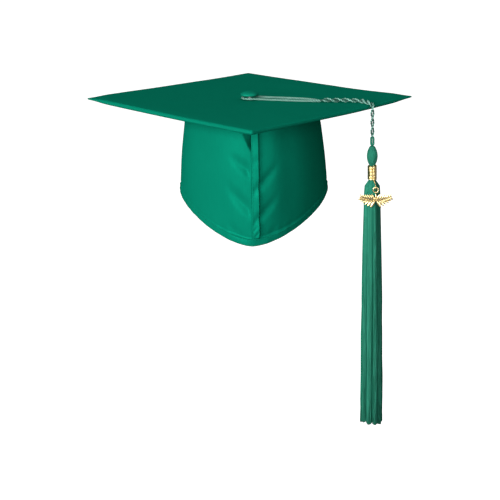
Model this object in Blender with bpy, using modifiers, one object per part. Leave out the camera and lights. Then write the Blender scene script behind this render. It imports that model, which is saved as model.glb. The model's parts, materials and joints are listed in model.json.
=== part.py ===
"""Graduation cap with a tassel, modelled piece by piece.

Units are metres and +Z is up. The origin is the centre of the head opening at
the level of the side hems. The board's corners lie on the X and Y axes, and the
wearer looks along -Y. Run it with: blender --background --python part.py
"""

import math

import bmesh
import bpy
from mathutils import Matrix, Vector

# Driving dimensions
GAP = 0.0003
BOARD_SIDE = 0.2413
BOARD_TOP = 0.099
BOARD_THICKNESS = 0.0054
BOARD_CORNER = 0.0028
COVER_THICKNESS = 0.0006
EDGE_ROUND = 0.0025

CROWN_TOP = BOARD_TOP - BOARD_THICKNESS - GAP
CROWN_TOP_HALF = (0.068, 0.088)
CROWN_FLARE = (0.011, 0.0093)
TOP_ROUNDNESS = 1.85
HEM_ROUNDNESS = 1.6
FRONT_DROP = 0.036
BACK_RISE = 0.004
DIP_POWER = 1.4
PANEL_THICKNESS = 0.001
LINING_THICKNESS = 0.0005
HEM_HEIGHT = 0.0078
HEM_THICKNESS = 0.0026
HEM_PROUD = 0.0004
SEAM_BAND_WIDTH = 0.008
HEADBAND_HEIGHT = 0.026
CROWN_COLUMNS = 40

SLOT_START = 0.045
CASING_TOP = 0.0236
CASING_THICKNESS = 0.0036
ELASTIC_THICKNESS = 0.001
ELASTIC_HEIGHT = 0.0125

BUTTON_RADIUS = 0.0095
BUTTON_BASE = BOARD_TOP + 0.0035
BUTTON_HEIGHT = 0.0048
SHANK_RADIUS = 0.0016
HOLE_RADIUS = 0.0019
WASHER_RADIUS = 0.007

LEG_RADIUS = 0.0011
TWIST_RADIUS = 0.0021
TASSEL_X, TASSEL_Y = 0.1255, -0.0507
CROSSING_ANGLE = math.radians(-60)
BEND_RADIUS = 0.004
EYE_TOP = BOARD_TOP - 0.032
EYE_BOTTOM = BOARD_TOP - 0.0411
EYE_HALF_WIDTH = 0.00155
EYE_STRAND = 0.00095

BAND_TOP = BOARD_TOP - 0.0618
BAND_TURNS = 9
BAND_PITCH = 0.0016
BAND_WIRE = 0.0007
BAND_RADIUS = 0.00415
NECK_RADIUS = 0.0023
SKIRT_TOP = BOARD_TOP - 0.0792
SKIRT_BOTTOM = BOARD_TOP - 0.3455

CHARM_OFFSET = (0.003, -0.0096)
HANGER_WIRE = 0.00035
HANGER_EYE = 0.0013
HANGER_EYE_Z = BOARD_TOP - 0.084
RING_RADIUS = 0.0024
RING_WIRE = 0.0004
CHARM_HALF_WIDTH = 0.0172
CHARM_THICKNESS = 0.0012

# Plan points of the cord's loop, from one end at the twist round the button's
# shank to the other end, and of the twisted pair from there to the board's edge
LOOP_ROUTE = (
    (0.0728, -0.0238), (0.0670, -0.0172), (0.0608, -0.0130), (0.0485, -0.0078),
    (0.0360, -0.0045), (0.0210, 0.0000), (0.0100, 0.0043), (0.0020, 0.0068),
    (-0.0050, 0.0052), (-0.0077, 0.0000), (-0.0064, -0.0060), (-0.0010, -0.0094),
    (0.0065, -0.0103), (0.0148, -0.0122), (0.0250, -0.0158), (0.0355, -0.0188),
    (0.0480, -0.0222), (0.0600, -0.0248), (0.0724, -0.0266),
)
TWIST_ROUTE = (
    (0.0738, -0.0253), (0.0830, -0.0269), (0.0940, -0.0283), (0.1035, -0.0296),
    (0.1120, -0.0318), (0.1172, -0.0364), (0.1210, -0.0429),
)


def clear_scene():
    """Removes every object of the startup scene."""
    for obj in list(bpy.data.objects):
        bpy.data.objects.remove(obj, do_unlink=True)


def new_collection(name):
    made = bpy.data.collections.new(name)
    bpy.context.scene.collection.children.link(made)
    return made


def finish(name, colour, roughness, metallic=0.0):
    """A plain Principled material."""
    material = bpy.data.materials.new(name)
    material.use_nodes = True
    shader = material.node_tree.nodes["Principled BSDF"]
    shader.inputs["Base Color"].default_value = (*colour, 1.0)
    shader.inputs["Roughness"].default_value = roughness
    shader.inputs["Metallic"].default_value = metallic
    return material


def place(name, data, collection, material=None):
    obj = bpy.data.objects.new(name, data)
    collection.objects.link(obj)
    if material:
        obj.data.materials.append(material)
    return obj


def mesh_object(name, bm, collection, material=None):
    mesh = bpy.data.meshes.new(name)
    bm.to_mesh(mesh)
    bm.free()
    return place(name, mesh, collection, material)


def box_cutter(name, low, high, cutters):
    bm = bmesh.new()
    bmesh.ops.create_cube(bm, size=1.0)
    size = Vector(high) - Vector(low)
    bmesh.ops.scale(bm, vec=size, verts=bm.verts)
    bmesh.ops.translate(bm, vec=Vector(low) + size / 2, verts=bm.verts)
    return as_cutter(mesh_object(name, bm, cutters))


def as_cutter(obj):
    obj.hide_render = True
    obj.display_type = "WIRE"
    return obj


def boolean(obj, cutter, operation="DIFFERENCE"):
    modifier = obj.modifiers.new(operation.title(), "BOOLEAN")
    modifier.operation = operation
    modifier.object = cutter
    return obj


def shell(obj, thickness):
    """Gives an open surface a wall on its inner side."""
    modifier = obj.modifiers.new("Wall", "SOLIDIFY")
    modifier.thickness = thickness
    modifier.offset = -1.0
    modifier.use_even_offset = True
    return obj


def turned(name, profile, collection, material, at=(0, 0, 0), ring=False, steps=24):
    """Turns a profile of (radius, height) about the Z axis through `at`.

    The profile runs down its outer side. A ring's profile closes on itself.
    """
    bm = bmesh.new()
    points = [bm.verts.new((radius, 0, height)) for radius, height in profile]
    for first, second in zip(points, points[1:]):
        bm.edges.new((first, second))
    if ring:
        bm.edges.new((points[-1], points[0]))
    obj = mesh_object(name, bm, collection, material)
    obj.location = at
    screw = obj.modifiers.new("Turn", "SCREW")
    screw.steps = screw.render_steps = steps
    screw.use_merge_vertices = True
    screw.merge_threshold = 0.00001
    screw.use_smooth_shade = True
    return obj


def tube(name, points, radius, collection, material, closed=False):
    """A round cord or wire along a list of points."""
    curve = bpy.data.curves.new(name, "CURVE")
    curve.dimensions = "3D"
    curve.bevel_depth = radius
    curve.bevel_resolution = 2
    curve.use_fill_caps = not closed
    spline = curve.splines.new("POLY")
    spline.points.add(len(points) - 1)
    for place_of, point in zip(spline.points, points):
        place_of.co = (*point, 1.0)
    spline.use_cyclic_u = closed
    return place(name, curve, collection, material)


def smooth_route(points, spacing):
    """Points about `spacing` apart on a Catmull-Rom curve through `points`."""
    ends = [points[0] * 2 - points[1], *points, points[-1] * 2 - points[-2]]
    route = []
    for before, start, end, after in zip(ends, ends[1:], ends[2:], ends[3:]):
        count = max(1, round((end - start).length / spacing))
        for step in range(count):
            t = step / count
            route.append(0.5 * (
                2 * start + (end - before) * t
                + (2 * before - 5 * start + 4 * end - after) * t * t
                + (3 * start - before - 3 * end + after) * t ** 3
            ))
    return [*route, points[-1]]


# Board

def slab(name, side, thickness, centre_z, corner, rounding, cells, collection, material=None):
    """A square plate on its corner, with round corners and soft edges."""
    bm = bmesh.new()
    bmesh.ops.create_grid(bm, x_segments=cells, y_segments=cells, size=side / 2)
    corners = [v for v in bm.verts if min(abs(v.co.x), abs(v.co.y)) > side / 2 - GAP]
    bmesh.ops.bevel(bm, geom=corners, affect="VERTICES", offset=corner, segments=3, profile=0.5)
    bmesh.ops.rotate(bm, matrix=Matrix.Rotation(math.pi / 4, 3, "Z"), verts=bm.verts)
    obj = mesh_object(name, bm, collection, material)
    obj.location.z = centre_z + thickness / 2
    shell(obj, thickness)
    edge = obj.modifiers.new("Soft edge", "BEVEL")
    edge.width = rounding
    edge.segments = 3
    edge.limit_method = "ANGLE"
    edge.angle_limit = math.radians(50)
    return obj


def shank_hole(cutters):
    """The hole through the board for the button's shank."""
    bm = bmesh.new()
    bmesh.ops.create_cone(
        bm, cap_ends=True, segments=20, radius1=HOLE_RADIUS, radius2=HOLE_RADIUS, depth=0.04
    )
    obj = as_cutter(mesh_object("cut_shank_hole", bm, cutters))
    obj.location.z = BOARD_TOP
    return obj


def make_board(parts, cutters, finishes):
    """The stiff core and its two cloth covers, which meet halfway up the edge."""
    middle = BOARD_TOP - BOARD_THICKNESS / 2
    skin = COVER_THICKNESS + GAP
    hole = shank_hole(cutters)
    core = slab(
        "board_core", BOARD_SIDE - 2 * skin, BOARD_THICKNESS - 2 * skin, middle,
        BOARD_CORNER - skin, EDGE_ROUND - skin, 1, parts, finishes["card"],
    )
    boolean(core, hole)
    hollow = as_cutter(slab(
        "cut_board_hollow", BOARD_SIDE - 2 * COVER_THICKNESS, BOARD_THICKNESS - 2 * COVER_THICKNESS,
        middle, BOARD_CORNER - COVER_THICKNESS, EDGE_ROUND - COVER_THICKNESS, 1, cutters,
    ))
    reach = BOARD_SIDE
    for name, low, high in (
        ("board_cover_top", -reach, middle + GAP / 2),
        ("board_cover_underside", middle - GAP / 2, reach),
    ):
        cover = slab(
            name, BOARD_SIDE, BOARD_THICKNESS, middle, BOARD_CORNER, EDGE_ROUND, 6,
            parts, finishes["satin"],
        )
        away = box_cutter("cut_" + name, (-reach, -reach, low), (reach, reach, high), cutters)
        for cutter in (hollow, away, hole):
            boolean(cover, cutter)


# Crown

def fullness(z):
    """How far the crown has flared at height z: 0 at its top, 1 at the front point."""
    return math.sin(math.pi / 2 * (CROWN_TOP - z) / (CROWN_TOP + FRONT_DROP))


def crown_point(angle, z):
    """A point of the crown's outer surface: a rounded diamond in plan."""
    flare = fullness(z)
    roundness = TOP_ROUNDNESS + (HEM_ROUNDNESS - TOP_ROUNDNESS) * flare
    half = [top + grow * flare for top, grow in zip(CROWN_TOP_HALF, CROWN_FLARE)]
    x, y = (
        size * math.copysign(abs(part) ** (2 / roundness), part)
        for size, part in zip(half, (math.cos(angle), math.sin(angle)))
    )
    return Vector((x, y, z))


def hem_height(angle):
    """The lower edge: level at the sides, down to a point in front, a little up behind."""
    y = math.sin(angle)
    share = abs(y) ** (2 / HEM_ROUNDNESS * DIP_POWER)
    return BACK_RISE * share if y > 0 else -FRONT_DROP * share


def crown_ring(name, top, bottom, inset, thickness, rows, collection, material=None):
    """A closed band of the crown's wall.

    `top` and `bottom` give the heights at an angle, and `inset` is how far the
    band's outer face lies inside the crown's outer surface.
    """
    bm = bmesh.new()
    angles = [math.tau * (i + 0.5) / CROWN_COLUMNS for i in range(CROWN_COLUMNS)]
    for angle in angles:
        bm.verts.new(crown_point(angle, top(angle)))
    bm.verts.ensure_lookup_table()
    ring = list(bm.verts)
    edges = [bm.edges.new((a, b)) for a, b in zip(ring, ring[1:] + ring[:1])]
    for row in range(1, rows + 1):
        made = bmesh.ops.extrude_edge_only(bm, edges=edges)["geom"]
        edges = [item for item in made if isinstance(item, bmesh.types.BMEdge)]
        lower = [item for item in made if isinstance(item, bmesh.types.BMVert)]
        for vert, angle in zip(lower, angles):
            z = top(angle) + (bottom(angle) - top(angle)) * row / rows
            vert.co = crown_point(angle, z)
    bmesh.ops.recalc_face_normals(bm, faces=bm.faces)
    bm.normal_update()
    for vert in bm.verts:
        vert.co -= Vector((vert.normal.x, vert.normal.y, 0)).normalized() * inset
    return shell(mesh_object(name, bm, collection, material), thickness)


def level(height):
    return lambda angle: height


def above_hem(height):
    return lambda angle: hem_height(angle) + height


def crown_cutters(cutters):
    """Blocks that split the crown into left and right and open it for the elastic."""
    far = 0.2
    return {
        "right": box_cutter("keep_right", (GAP / 2, -far, -far), (far, far, far), cutters),
        "left": box_cutter("keep_left", (-far, -far, -far), (-GAP / 2, far, far), cutters),
        "slot": box_cutter(
            "cut_slot", (-far, SLOT_START, -far), (far, far, CASING_TOP + GAP), cutters
        ),
        "behind": box_cutter(
            "cut_behind", (-far, SLOT_START, -far), (far, far, far), cutters
        ),
        "back": box_cutter(
            "keep_back", (-far, SLOT_START + GAP, -far), (far, far, far), cutters
        ),
    }


def make_crown_walls(parts, blocks, finishes):
    """Outer panels, linings and folded hems, each in a left and a right piece."""
    lining_inset = PANEL_THICKNESS + GAP
    for side in ("left", "right"):
        panel = crown_ring(
            f"crown_panel_{side}", level(CROWN_TOP), above_hem(HEM_HEIGHT + 2 * GAP),
            0, PANEL_THICKNESS, 6, parts, finishes["satin"],
        )
        lining = crown_ring(
            f"crown_lining_{side}", level(CROWN_TOP - 0.0015), above_hem(HEM_HEIGHT + 2 * GAP),
            lining_inset, LINING_THICKNESS, 3, parts, finishes["lining"],
        )
        for wall in (panel, lining):
            boolean(boolean(wall, blocks[side], "INTERSECT"), blocks["slot"])
        hem = crown_ring(
            f"hem_{side}", above_hem(HEM_HEIGHT), above_hem(0), -HEM_PROUD, HEM_THICKNESS,
            1, parts, finishes["satin"],
        )
        boolean(boolean(hem, blocks[side], "INTERSECT"), blocks["behind"])


def make_seam_band(parts, cutters, finishes):
    """The felled seam that runs down the front, turned to the right and stitched flat."""
    thickness = LINING_THICKNESS
    band = crown_ring(
        "front_seam_band", level(CROWN_TOP), above_hem(HEM_HEIGHT + 2 * GAP),
        -thickness - GAP, thickness, 6, parts, finishes["satin"],
    )
    keep = box_cutter(
        "keep_seam_band", (GAP, -0.2, -0.2), (GAP + SEAM_BAND_WIDTH, 0, 0.2), cutters
    )
    boolean(band, keep, "INTERSECT")


def make_headband(parts, blocks, finishes):
    """The band inside the front and sides that sits against the head."""
    inset = HEM_THICKNESS - HEM_PROUD + GAP
    band = crown_ring(
        "headband", above_hem(HEADBAND_HEIGHT), above_hem(0.001), inset, 0.0008, 2,
        parts, finishes["tape"],
    )
    boolean(band, blocks["behind"])


def make_elastic(parts, blocks, cutters, finishes):
    """The casing across the back and the elastic that runs through it."""
    middle = (CASING_TOP + BACK_RISE) / 2
    casing = crown_ring(
        "elastic_casing", level(CASING_TOP), above_hem(0), -HEM_PROUD, CASING_THICKNESS,
        2, parts, finishes["satin"],
    )
    tunnel_inset = 0.0007
    tunnel_half = ELASTIC_HEIGHT / 2 + 2 * GAP
    tunnel = as_cutter(crown_ring(
        "cut_tunnel", level(middle + tunnel_half), level(middle - tunnel_half),
        tunnel_inset, ELASTIC_THICKNESS + 2 * GAP, 1, cutters,
    ))
    boolean(boolean(casing, tunnel), blocks["back"], "INTERSECT")
    elastic = crown_ring(
        "elastic_band", level(middle + ELASTIC_HEIGHT / 2), level(middle - ELASTIC_HEIGHT / 2),
        tunnel_inset + GAP, ELASTIC_THICKNESS, 1, parts, finishes["elastic"],
    )
    boolean(elastic, blocks["back"], "INTERSECT")


def make_top_lining(parts, cutters, finishes):
    """The cloth disc under the board that the crown's upper edge is sewn to."""
    bm = bmesh.new()
    bmesh.ops.create_circle(bm, segments=CROWN_COLUMNS, radius=1, cap_ends=True)
    for vert in bm.verts:
        angle = math.atan2(vert.co.y, vert.co.x)
        edge = crown_point(angle, CROWN_TOP)
        vert.co = edge - edge.xy.normalized().to_3d() * 2 * (PANEL_THICKNESS + GAP)
        vert.co.z = CROWN_TOP
    disc = shell(mesh_object("crown_top_lining", bm, parts, finishes["lining"]), 0.0006)
    boolean(disc, cutters.objects["cut_shank_hole"])


def make_care_label(parts, cutters, finishes):
    """A blank cloth label sewn inside the back of the crown."""
    inset = PANEL_THICKNESS + LINING_THICKNESS + 2 * GAP
    label = crown_ring(
        "care_label", level(0.058), level(0.034), inset, 0.0004, 1, parts, finishes["label"]
    )
    keep = box_cutter("keep_label", (0.004, 0.0, 0.0), (0.030, 0.2, 0.1), cutters)
    boolean(label, keep, "INTERSECT")


# Button

def dome(radius, base, height, start=0.0):
    """Points from the top of a low dome down to its rim."""
    steps = 6
    return [
        (radius * math.sin(a), base + height * math.cos(a))
        for a in (start + (math.pi / 2 - start) * i / steps for i in range(steps + 1))
    ]


def make_button(parts, finishes):
    """A cloth-covered button whose shank is riveted through the board."""
    cloth, metal = 0.0005, 0.0005
    rim = BUTTON_BASE + 0.0011
    lip_radius = BUTTON_RADIUS - 0.0016
    crest = BUTTON_HEIGHT - 0.0011
    outer = dome(BUTTON_RADIUS, rim, crest)
    inner = dome(BUTTON_RADIUS - cloth, rim, crest - cloth)
    lip = [
        (BUTTON_RADIUS - 0.0003, BUTTON_BASE + 0.0004), (BUTTON_RADIUS - 0.0009, BUTTON_BASE),
        (lip_radius, BUTTON_BASE), (lip_radius, BUTTON_BASE + cloth),
        (BUTTON_RADIUS - 0.0011, BUTTON_BASE + cloth),
    ]
    turned("button_cover", [*outer, *lip, *reversed(inner)], parts, finishes["satin"])

    shell_radius = BUTTON_RADIUS - cloth - GAP
    shell_crest = crest - cloth - GAP
    outer = dome(shell_radius, rim, shell_crest)
    inner = dome(shell_radius - metal, rim, shell_crest - metal)
    turned("button_shell", [*outer, *reversed(inner)], parts, finishes["steel"])

    plate_radius = lip_radius - GAP
    plate_top = BUTTON_BASE + 0.0008
    turned("button_backplate", [
        (HOLE_RADIUS, plate_top), (plate_radius, plate_top),
        (plate_radius, BUTTON_BASE), (HOLE_RADIUS, BUTTON_BASE),
    ], parts, finishes["steel"], ring=True)

    washer_top = BOARD_TOP - BOARD_THICKNESS - 0.0006 - 2 * GAP - GAP
    washer_bottom = washer_top - 0.0006
    turned("shank_washer", [
        (HOLE_RADIUS, washer_top), (WASHER_RADIUS, washer_top),
        (WASHER_RADIUS, washer_bottom), (HOLE_RADIUS, washer_bottom),
    ], parts, finishes["steel"], ring=True)

    head_base = plate_top + GAP
    tail_top = washer_bottom - GAP
    turned("button_shank", [
        (0, head_base + 0.0008), (0.0024, head_base + 0.0006), (0.0028, head_base),
        (SHANK_RADIUS, head_base), (SHANK_RADIUS, tail_top), (0.0026, tail_top),
        (0.0022, tail_top - 0.0006), (0, tail_top - 0.0008),
    ], parts, finishes["steel"])


# Tassel

def crossing():
    """The level direction in which the cord leaves the board."""
    return Vector((math.cos(CROSSING_ANGLE), math.sin(CROSSING_ANGLE), 0))


def bend_centre():
    height = BOARD_TOP + GAP + TWIST_RADIUS - BEND_RADIUS
    return Vector((TASSEL_X, TASSEL_Y, height)) - crossing() * BEND_RADIUS


def bend_point(turn, radius=BEND_RADIUS):
    """A point of the bend over the board's edge, `turn` radians from its start."""
    out = crossing() * math.sin(turn)
    return bend_centre() + (out + Vector((0, 0, math.cos(turn)))) * radius


def bend_run(start, end):
    """Points along the bend, close together at its ends so that these are cut square."""
    steps, close = 4, 0.05
    inner = [start + (end - start) * i / steps for i in range(1, steps)]
    return [bend_point(turn) for turn in (start, start + close, *inner, end - close, end)]


def drop_pivot():
    """The outer side of the cord, halfway round its bend."""
    return bend_point(math.pi / 4, BEND_RADIUS + TWIST_RADIUS + GAP)


def make_cord(parts, finishes):
    """The loop round the button, the twisted pair, its hanging end and the eye."""
    cord = finishes["cord"]
    leg_z = BOARD_TOP + GAP + LEG_RADIUS
    loop = [Vector((x, y, leg_z)) for x, y in LOOP_ROUTE]
    tube("cord_loop", smooth_route(loop, 0.0045), LEG_RADIUS, parts, cord)

    pair_z = BOARD_TOP + GAP + TWIST_RADIUS
    halfway = math.pi / 4
    over = bend_run(0, halfway)
    level_run = smooth_route([Vector((x, y, pair_z)) for x, y in TWIST_ROUTE] + [over[0]], 0.006)
    tube("cord_twist", [*level_run[:-1], *over], TWIST_RADIUS, parts, cord)

    down = bend_run(halfway + GAP / BEND_RADIUS, math.pi / 2)
    fall = [Vector((TASSEL_X, TASSEL_Y, EYE_TOP + above)) for above in (0.018, 0.009, GAP)]
    tube("cord_drop", [*down, *fall], TWIST_RADIUS, parts, cord)

    make_eye(parts, cord)


def make_eye(parts, cord):
    """The small loop of cord that the tassel hangs by, in the XZ plane."""
    reach = EYE_HALF_WIDTH + EYE_STRAND
    upper, lower = EYE_TOP - reach, EYE_BOTTOM + reach
    points = []
    half_turn = 8
    for centre_z, start in ((upper, 0.0), (lower, math.pi)):
        for i in range(half_turn + 1):
            a = start + math.pi * i / half_turn
            points.append((
                TASSEL_X + EYE_HALF_WIDTH * math.cos(a), TASSEL_Y,
                centre_z + EYE_HALF_WIDTH * math.sin(a),
            ))
    tube("cord_eye", points, EYE_STRAND, parts, cord, closed=True)


def make_tassel_body(parts, finishes):
    """The bound head of yarn, the wire band round its neck and the skirt below."""
    axis = (TASSEL_X, TASSEL_Y, 0)
    head_top = EYE_BOTTOM - GAP
    neck_top = BAND_TOP - 0.0002
    head_profile = (
        (0, 0), (0.0016, 0.0003), (0.0034, 0.0026), (0.0049, 0.0062), (0.0056, 0.0098),
        (0.0055, 0.0135), (0.0047, 0.0174), (0.0035, 0.0198),
    )
    neck_bottom = BAND_TOP - BAND_TURNS * BAND_PITCH - 2 * BAND_WIRE
    turned("tassel_head", [
        *((radius, head_top - drop) for radius, drop in head_profile),
        (NECK_RADIUS, neck_top), (NECK_RADIUS, neck_bottom), (0, neck_bottom),
    ], parts, finishes["yarn"], at=axis, steps=16)

    per_turn = 10
    coil = []
    for i in range(BAND_TURNS * per_turn + 1):
        a = math.tau * i / per_turn
        z = BAND_TOP - BAND_WIRE - BAND_PITCH * i / per_turn
        coil.append((TASSEL_X + BAND_RADIUS * math.cos(a), TASSEL_Y + BAND_RADIUS * math.sin(a), z))
    tube("tassel_band", coil, BAND_WIRE, parts, finishes["gold"])

    length = SKIRT_TOP - SKIRT_BOTTOM
    skirt_profile = (
        (0, 0), (0.0040, 0.0001), (0.0062, 0.0014), (0.0072, 0.0038), (0.0078, 0.0088),
        (0.0082, 0.031), (0.0096, 0.092), (0.0104, 0.160), (0.0110, 0.220),
        (0.0112, length - 0.004), (0.0104, length), (0, length),
    )
    turned("tassel_skirt", [
        (radius, SKIRT_TOP - drop) for radius, drop in skirt_profile
    ], parts, finishes["yarn"], at=axis, steps=16)


def charm_axis():
    return Vector((TASSEL_X + CHARM_OFFSET[0], TASSEL_Y + CHARM_OFFSET[1], HANGER_EYE_Z))


def make_hanger(parts, finishes):
    """A wire from inside the band out over the skirt, ending in an open eye."""
    eye = charm_axis()
    out = Vector((*CHARM_OFFSET, 0)).normalized()
    reach = Vector((*CHARM_OFFSET, 0)).length
    axis = Vector((TASSEL_X, TASSEL_Y, BOARD_TOP))
    stem = ((0.0028, 0.070), (0.0028, 0.0768), (0.0031, 0.0779), (0.0044, 0.0783),
            (0.0064, 0.0788), (0.0082, 0.0801))
    points = [axis + out * radius - Vector((0, 0, drop)) for radius, drop in stem]
    points.append(axis + out * (reach - 0.0006) - Vector((0, 0, 0.0818)))
    steps, sweep = 10, math.radians(290)
    for i in range(steps + 1):
        a = sweep * i / steps
        points.append(eye + Vector((0, -math.sin(a), math.cos(a))) * HANGER_EYE)
    tube("charm_hanger", points, HANGER_WIRE, parts, finishes["gold"])


def torus(centre, across, thickness, axis, around=20, section=8):
    """A ring of wire, turned so that its axis is 'X' or 'Y'."""
    bpy.ops.mesh.primitive_torus_add(
        major_segments=around, minor_segments=section, major_radius=across,
        minor_radius=thickness, location=centre,
        rotation=(math.pi / 2, 0, 0) if axis == "Y" else (0, math.pi / 2, 0),
    )
    return bpy.context.object


def adopt(obj, name, collection, material=None):
    """Moves an object that an operator made into one of the collections."""
    for holder in list(obj.users_collection):
        holder.objects.unlink(obj)
    collection.objects.link(obj)
    obj.name = name
    if material:
        obj.data.materials.append(material)
    return obj


def charm_outline():
    """The outline of a sprig: an upward curve with scalloped leaves on both sides."""
    steps = 12
    upper, lower = [], []
    for i in range(-steps, steps + 1):
        s = i / steps
        x = CHARM_HALF_WIDTH * s
        middle = -0.0062 + 0.0042 * s * s
        leaf = 0.0010 * abs(math.sin(math.pi * i / 2 + 0.2))
        half = 0.0008 + 0.0044 * (1 - s * s) ** 0.6 + leaf * (1 - abs(s) ** 6)
        upper.append((x, middle + half))
        lower.append((x, middle - half))
    return [*upper, *reversed(lower)]


def make_charm(parts, cutters, finishes):
    """A flat gilt sprig with a ring at its top that stands across the charm."""
    bail = charm_axis() - Vector((0, 0, 2 * RING_RADIUS))
    curve = bpy.data.curves.new("charm", "CURVE")
    curve.dimensions = "2D"
    curve.fill_mode = "BOTH"
    curve.extrude = CHARM_THICKNESS / 2
    spline = curve.splines.new("POLY")
    outline = charm_outline()
    spline.points.add(len(outline) - 1)
    for point, (x, height) in zip(spline.points, outline):
        point.co = (x, height, 0, 1)
    spline.use_cyclic_u = True
    flat = place("charm_outline", curve, parts)
    flat.location = bail - Vector((0, 0, HANGER_EYE - 0.0008))
    flat.rotation_euler.x = math.pi / 2
    bpy.context.view_layer.update()
    evaluated = flat.evaluated_get(bpy.context.evaluated_depsgraph_get())
    mesh = bpy.data.meshes.new_from_object(evaluated)
    charm = place("charm", mesh, parts, finishes["gold"])
    charm.matrix_world = flat.matrix_world
    bpy.data.objects.remove(flat)
    bm = bmesh.new()
    bm.from_mesh(mesh)
    bmesh.ops.remove_doubles(bm, verts=bm.verts, dist=0.00001)
    bm.to_mesh(mesh)
    bm.free()
    bail_ring = adopt(torus(bail, HANGER_EYE, HANGER_WIRE, "X", 16), "join_bail", cutters)
    boolean(charm, as_cutter(bail_ring), "UNION")


def make_charm_parts(parts, cutters, finishes):
    make_hanger(parts, finishes)
    centre = charm_axis() - Vector((0, 0, RING_RADIUS))
    adopt(torus(centre, RING_RADIUS, RING_WIRE, "Y"), "jump_ring", parts, finishes["gold"])
    make_charm(parts, cutters, finishes)


# Joints

def pivot(name, where, parent, children, collection):
    """An empty on a joint's axis, which carries the pieces that move with it."""
    empty = bpy.data.objects.new(name, None)
    empty.empty_display_size = 0.01
    collection.objects.link(empty)
    empty.location = where
    bpy.context.view_layer.update()
    carried = [bpy.data.objects[child] for child in children]
    for obj in carried:
        obj.parent = empty
        obj.matrix_parent_inverse = empty.matrix_world.inverted()
    if parent:
        empty.parent = parent
        empty.matrix_parent_inverse = parent.matrix_world.inverted()
    return empty


def make_pivots(collection):
    """The chain of joints from the button to the charm, and the elastic's slide."""
    sway_z = EYE_TOP - EYE_HALF_WIDTH - EYE_STRAND
    below = Vector((0, 0, RING_RADIUS * 2))
    turn = pivot("tassel_turn", (0, 0, BOARD_TOP), None, ["cord_loop", "cord_twist"], collection)
    drop = pivot("tassel_drop", drop_pivot(), turn, ["cord_drop"], collection)
    sway = pivot("tassel_sway", (TASSEL_X, TASSEL_Y, sway_z), drop, ["cord_eye"], collection)
    spin = pivot(
        "tassel_spin", (TASSEL_X, TASSEL_Y, EYE_BOTTOM), sway,
        ["tassel_head", "tassel_band", "tassel_skirt", "charm_hanger"], collection,
    )
    ring = pivot("ring_swing", charm_axis(), spin, ["jump_ring"], collection)
    pivot("charm_swing", charm_axis() - below, ring, ["charm"], collection)
    back = (0, CROWN_TOP_HALF[1], CASING_TOP / 2)
    pivot("elastic_stretch", back, None, ["elastic_casing", "elastic_band"], collection)


def make_finishes():
    green = (0.006, 0.130, 0.083)
    return {
        "card": finish("card", (0.55, 0.50, 0.42), 0.9),
        "satin": finish("satin", green, 0.45),
        "lining": finish("lining", (0.010, 0.105, 0.070), 0.8),
        "tape": finish("tape", (0.012, 0.115, 0.078), 0.75),
        "elastic": finish("elastic", (0.75, 0.75, 0.72), 0.85),
        "label": finish("label", (0.80, 0.80, 0.78), 0.8),
        "steel": finish("steel", (0.55, 0.56, 0.57), 0.35, 1.0),
        "cord": finish("cord", (0.10, 0.45, 0.33), 0.5),
        "yarn": finish("yarn", (0.02, 0.20, 0.13), 0.55),
        "gold": finish("gold", (0.80, 0.58, 0.22), 0.25, 1.0),
    }


def main():
    clear_scene()
    parts = new_collection("graduation_cap")
    cutters = new_collection("cutters")
    joints = new_collection("joints")
    finishes = make_finishes()
    make_board(parts, cutters, finishes)
    blocks = crown_cutters(cutters)
    make_crown_walls(parts, blocks, finishes)
    make_seam_band(parts, cutters, finishes)
    make_headband(parts, blocks, finishes)
    make_elastic(parts, blocks, cutters, finishes)
    make_top_lining(parts, cutters, finishes)
    make_care_label(parts, cutters, finishes)
    make_button(parts, finishes)
    make_cord(parts, finishes)
    make_tassel_body(parts, finishes)
    make_charm_parts(parts, cutters, finishes)
    make_pivots(joints)


main()
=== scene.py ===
"""Graduation cap with a tassel: its looks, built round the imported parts.

Everything is in metres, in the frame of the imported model. +Z is up, -Y is the
front, and the origin is the centre of the head opening.
"""

import json
import logging
import math
import random
from abc import ABC, abstractmethod
from bisect import bisect_left
from collections.abc import Callable, Iterable, Mapping, Sequence
from dataclasses import dataclass, field
from enum import Enum

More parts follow.
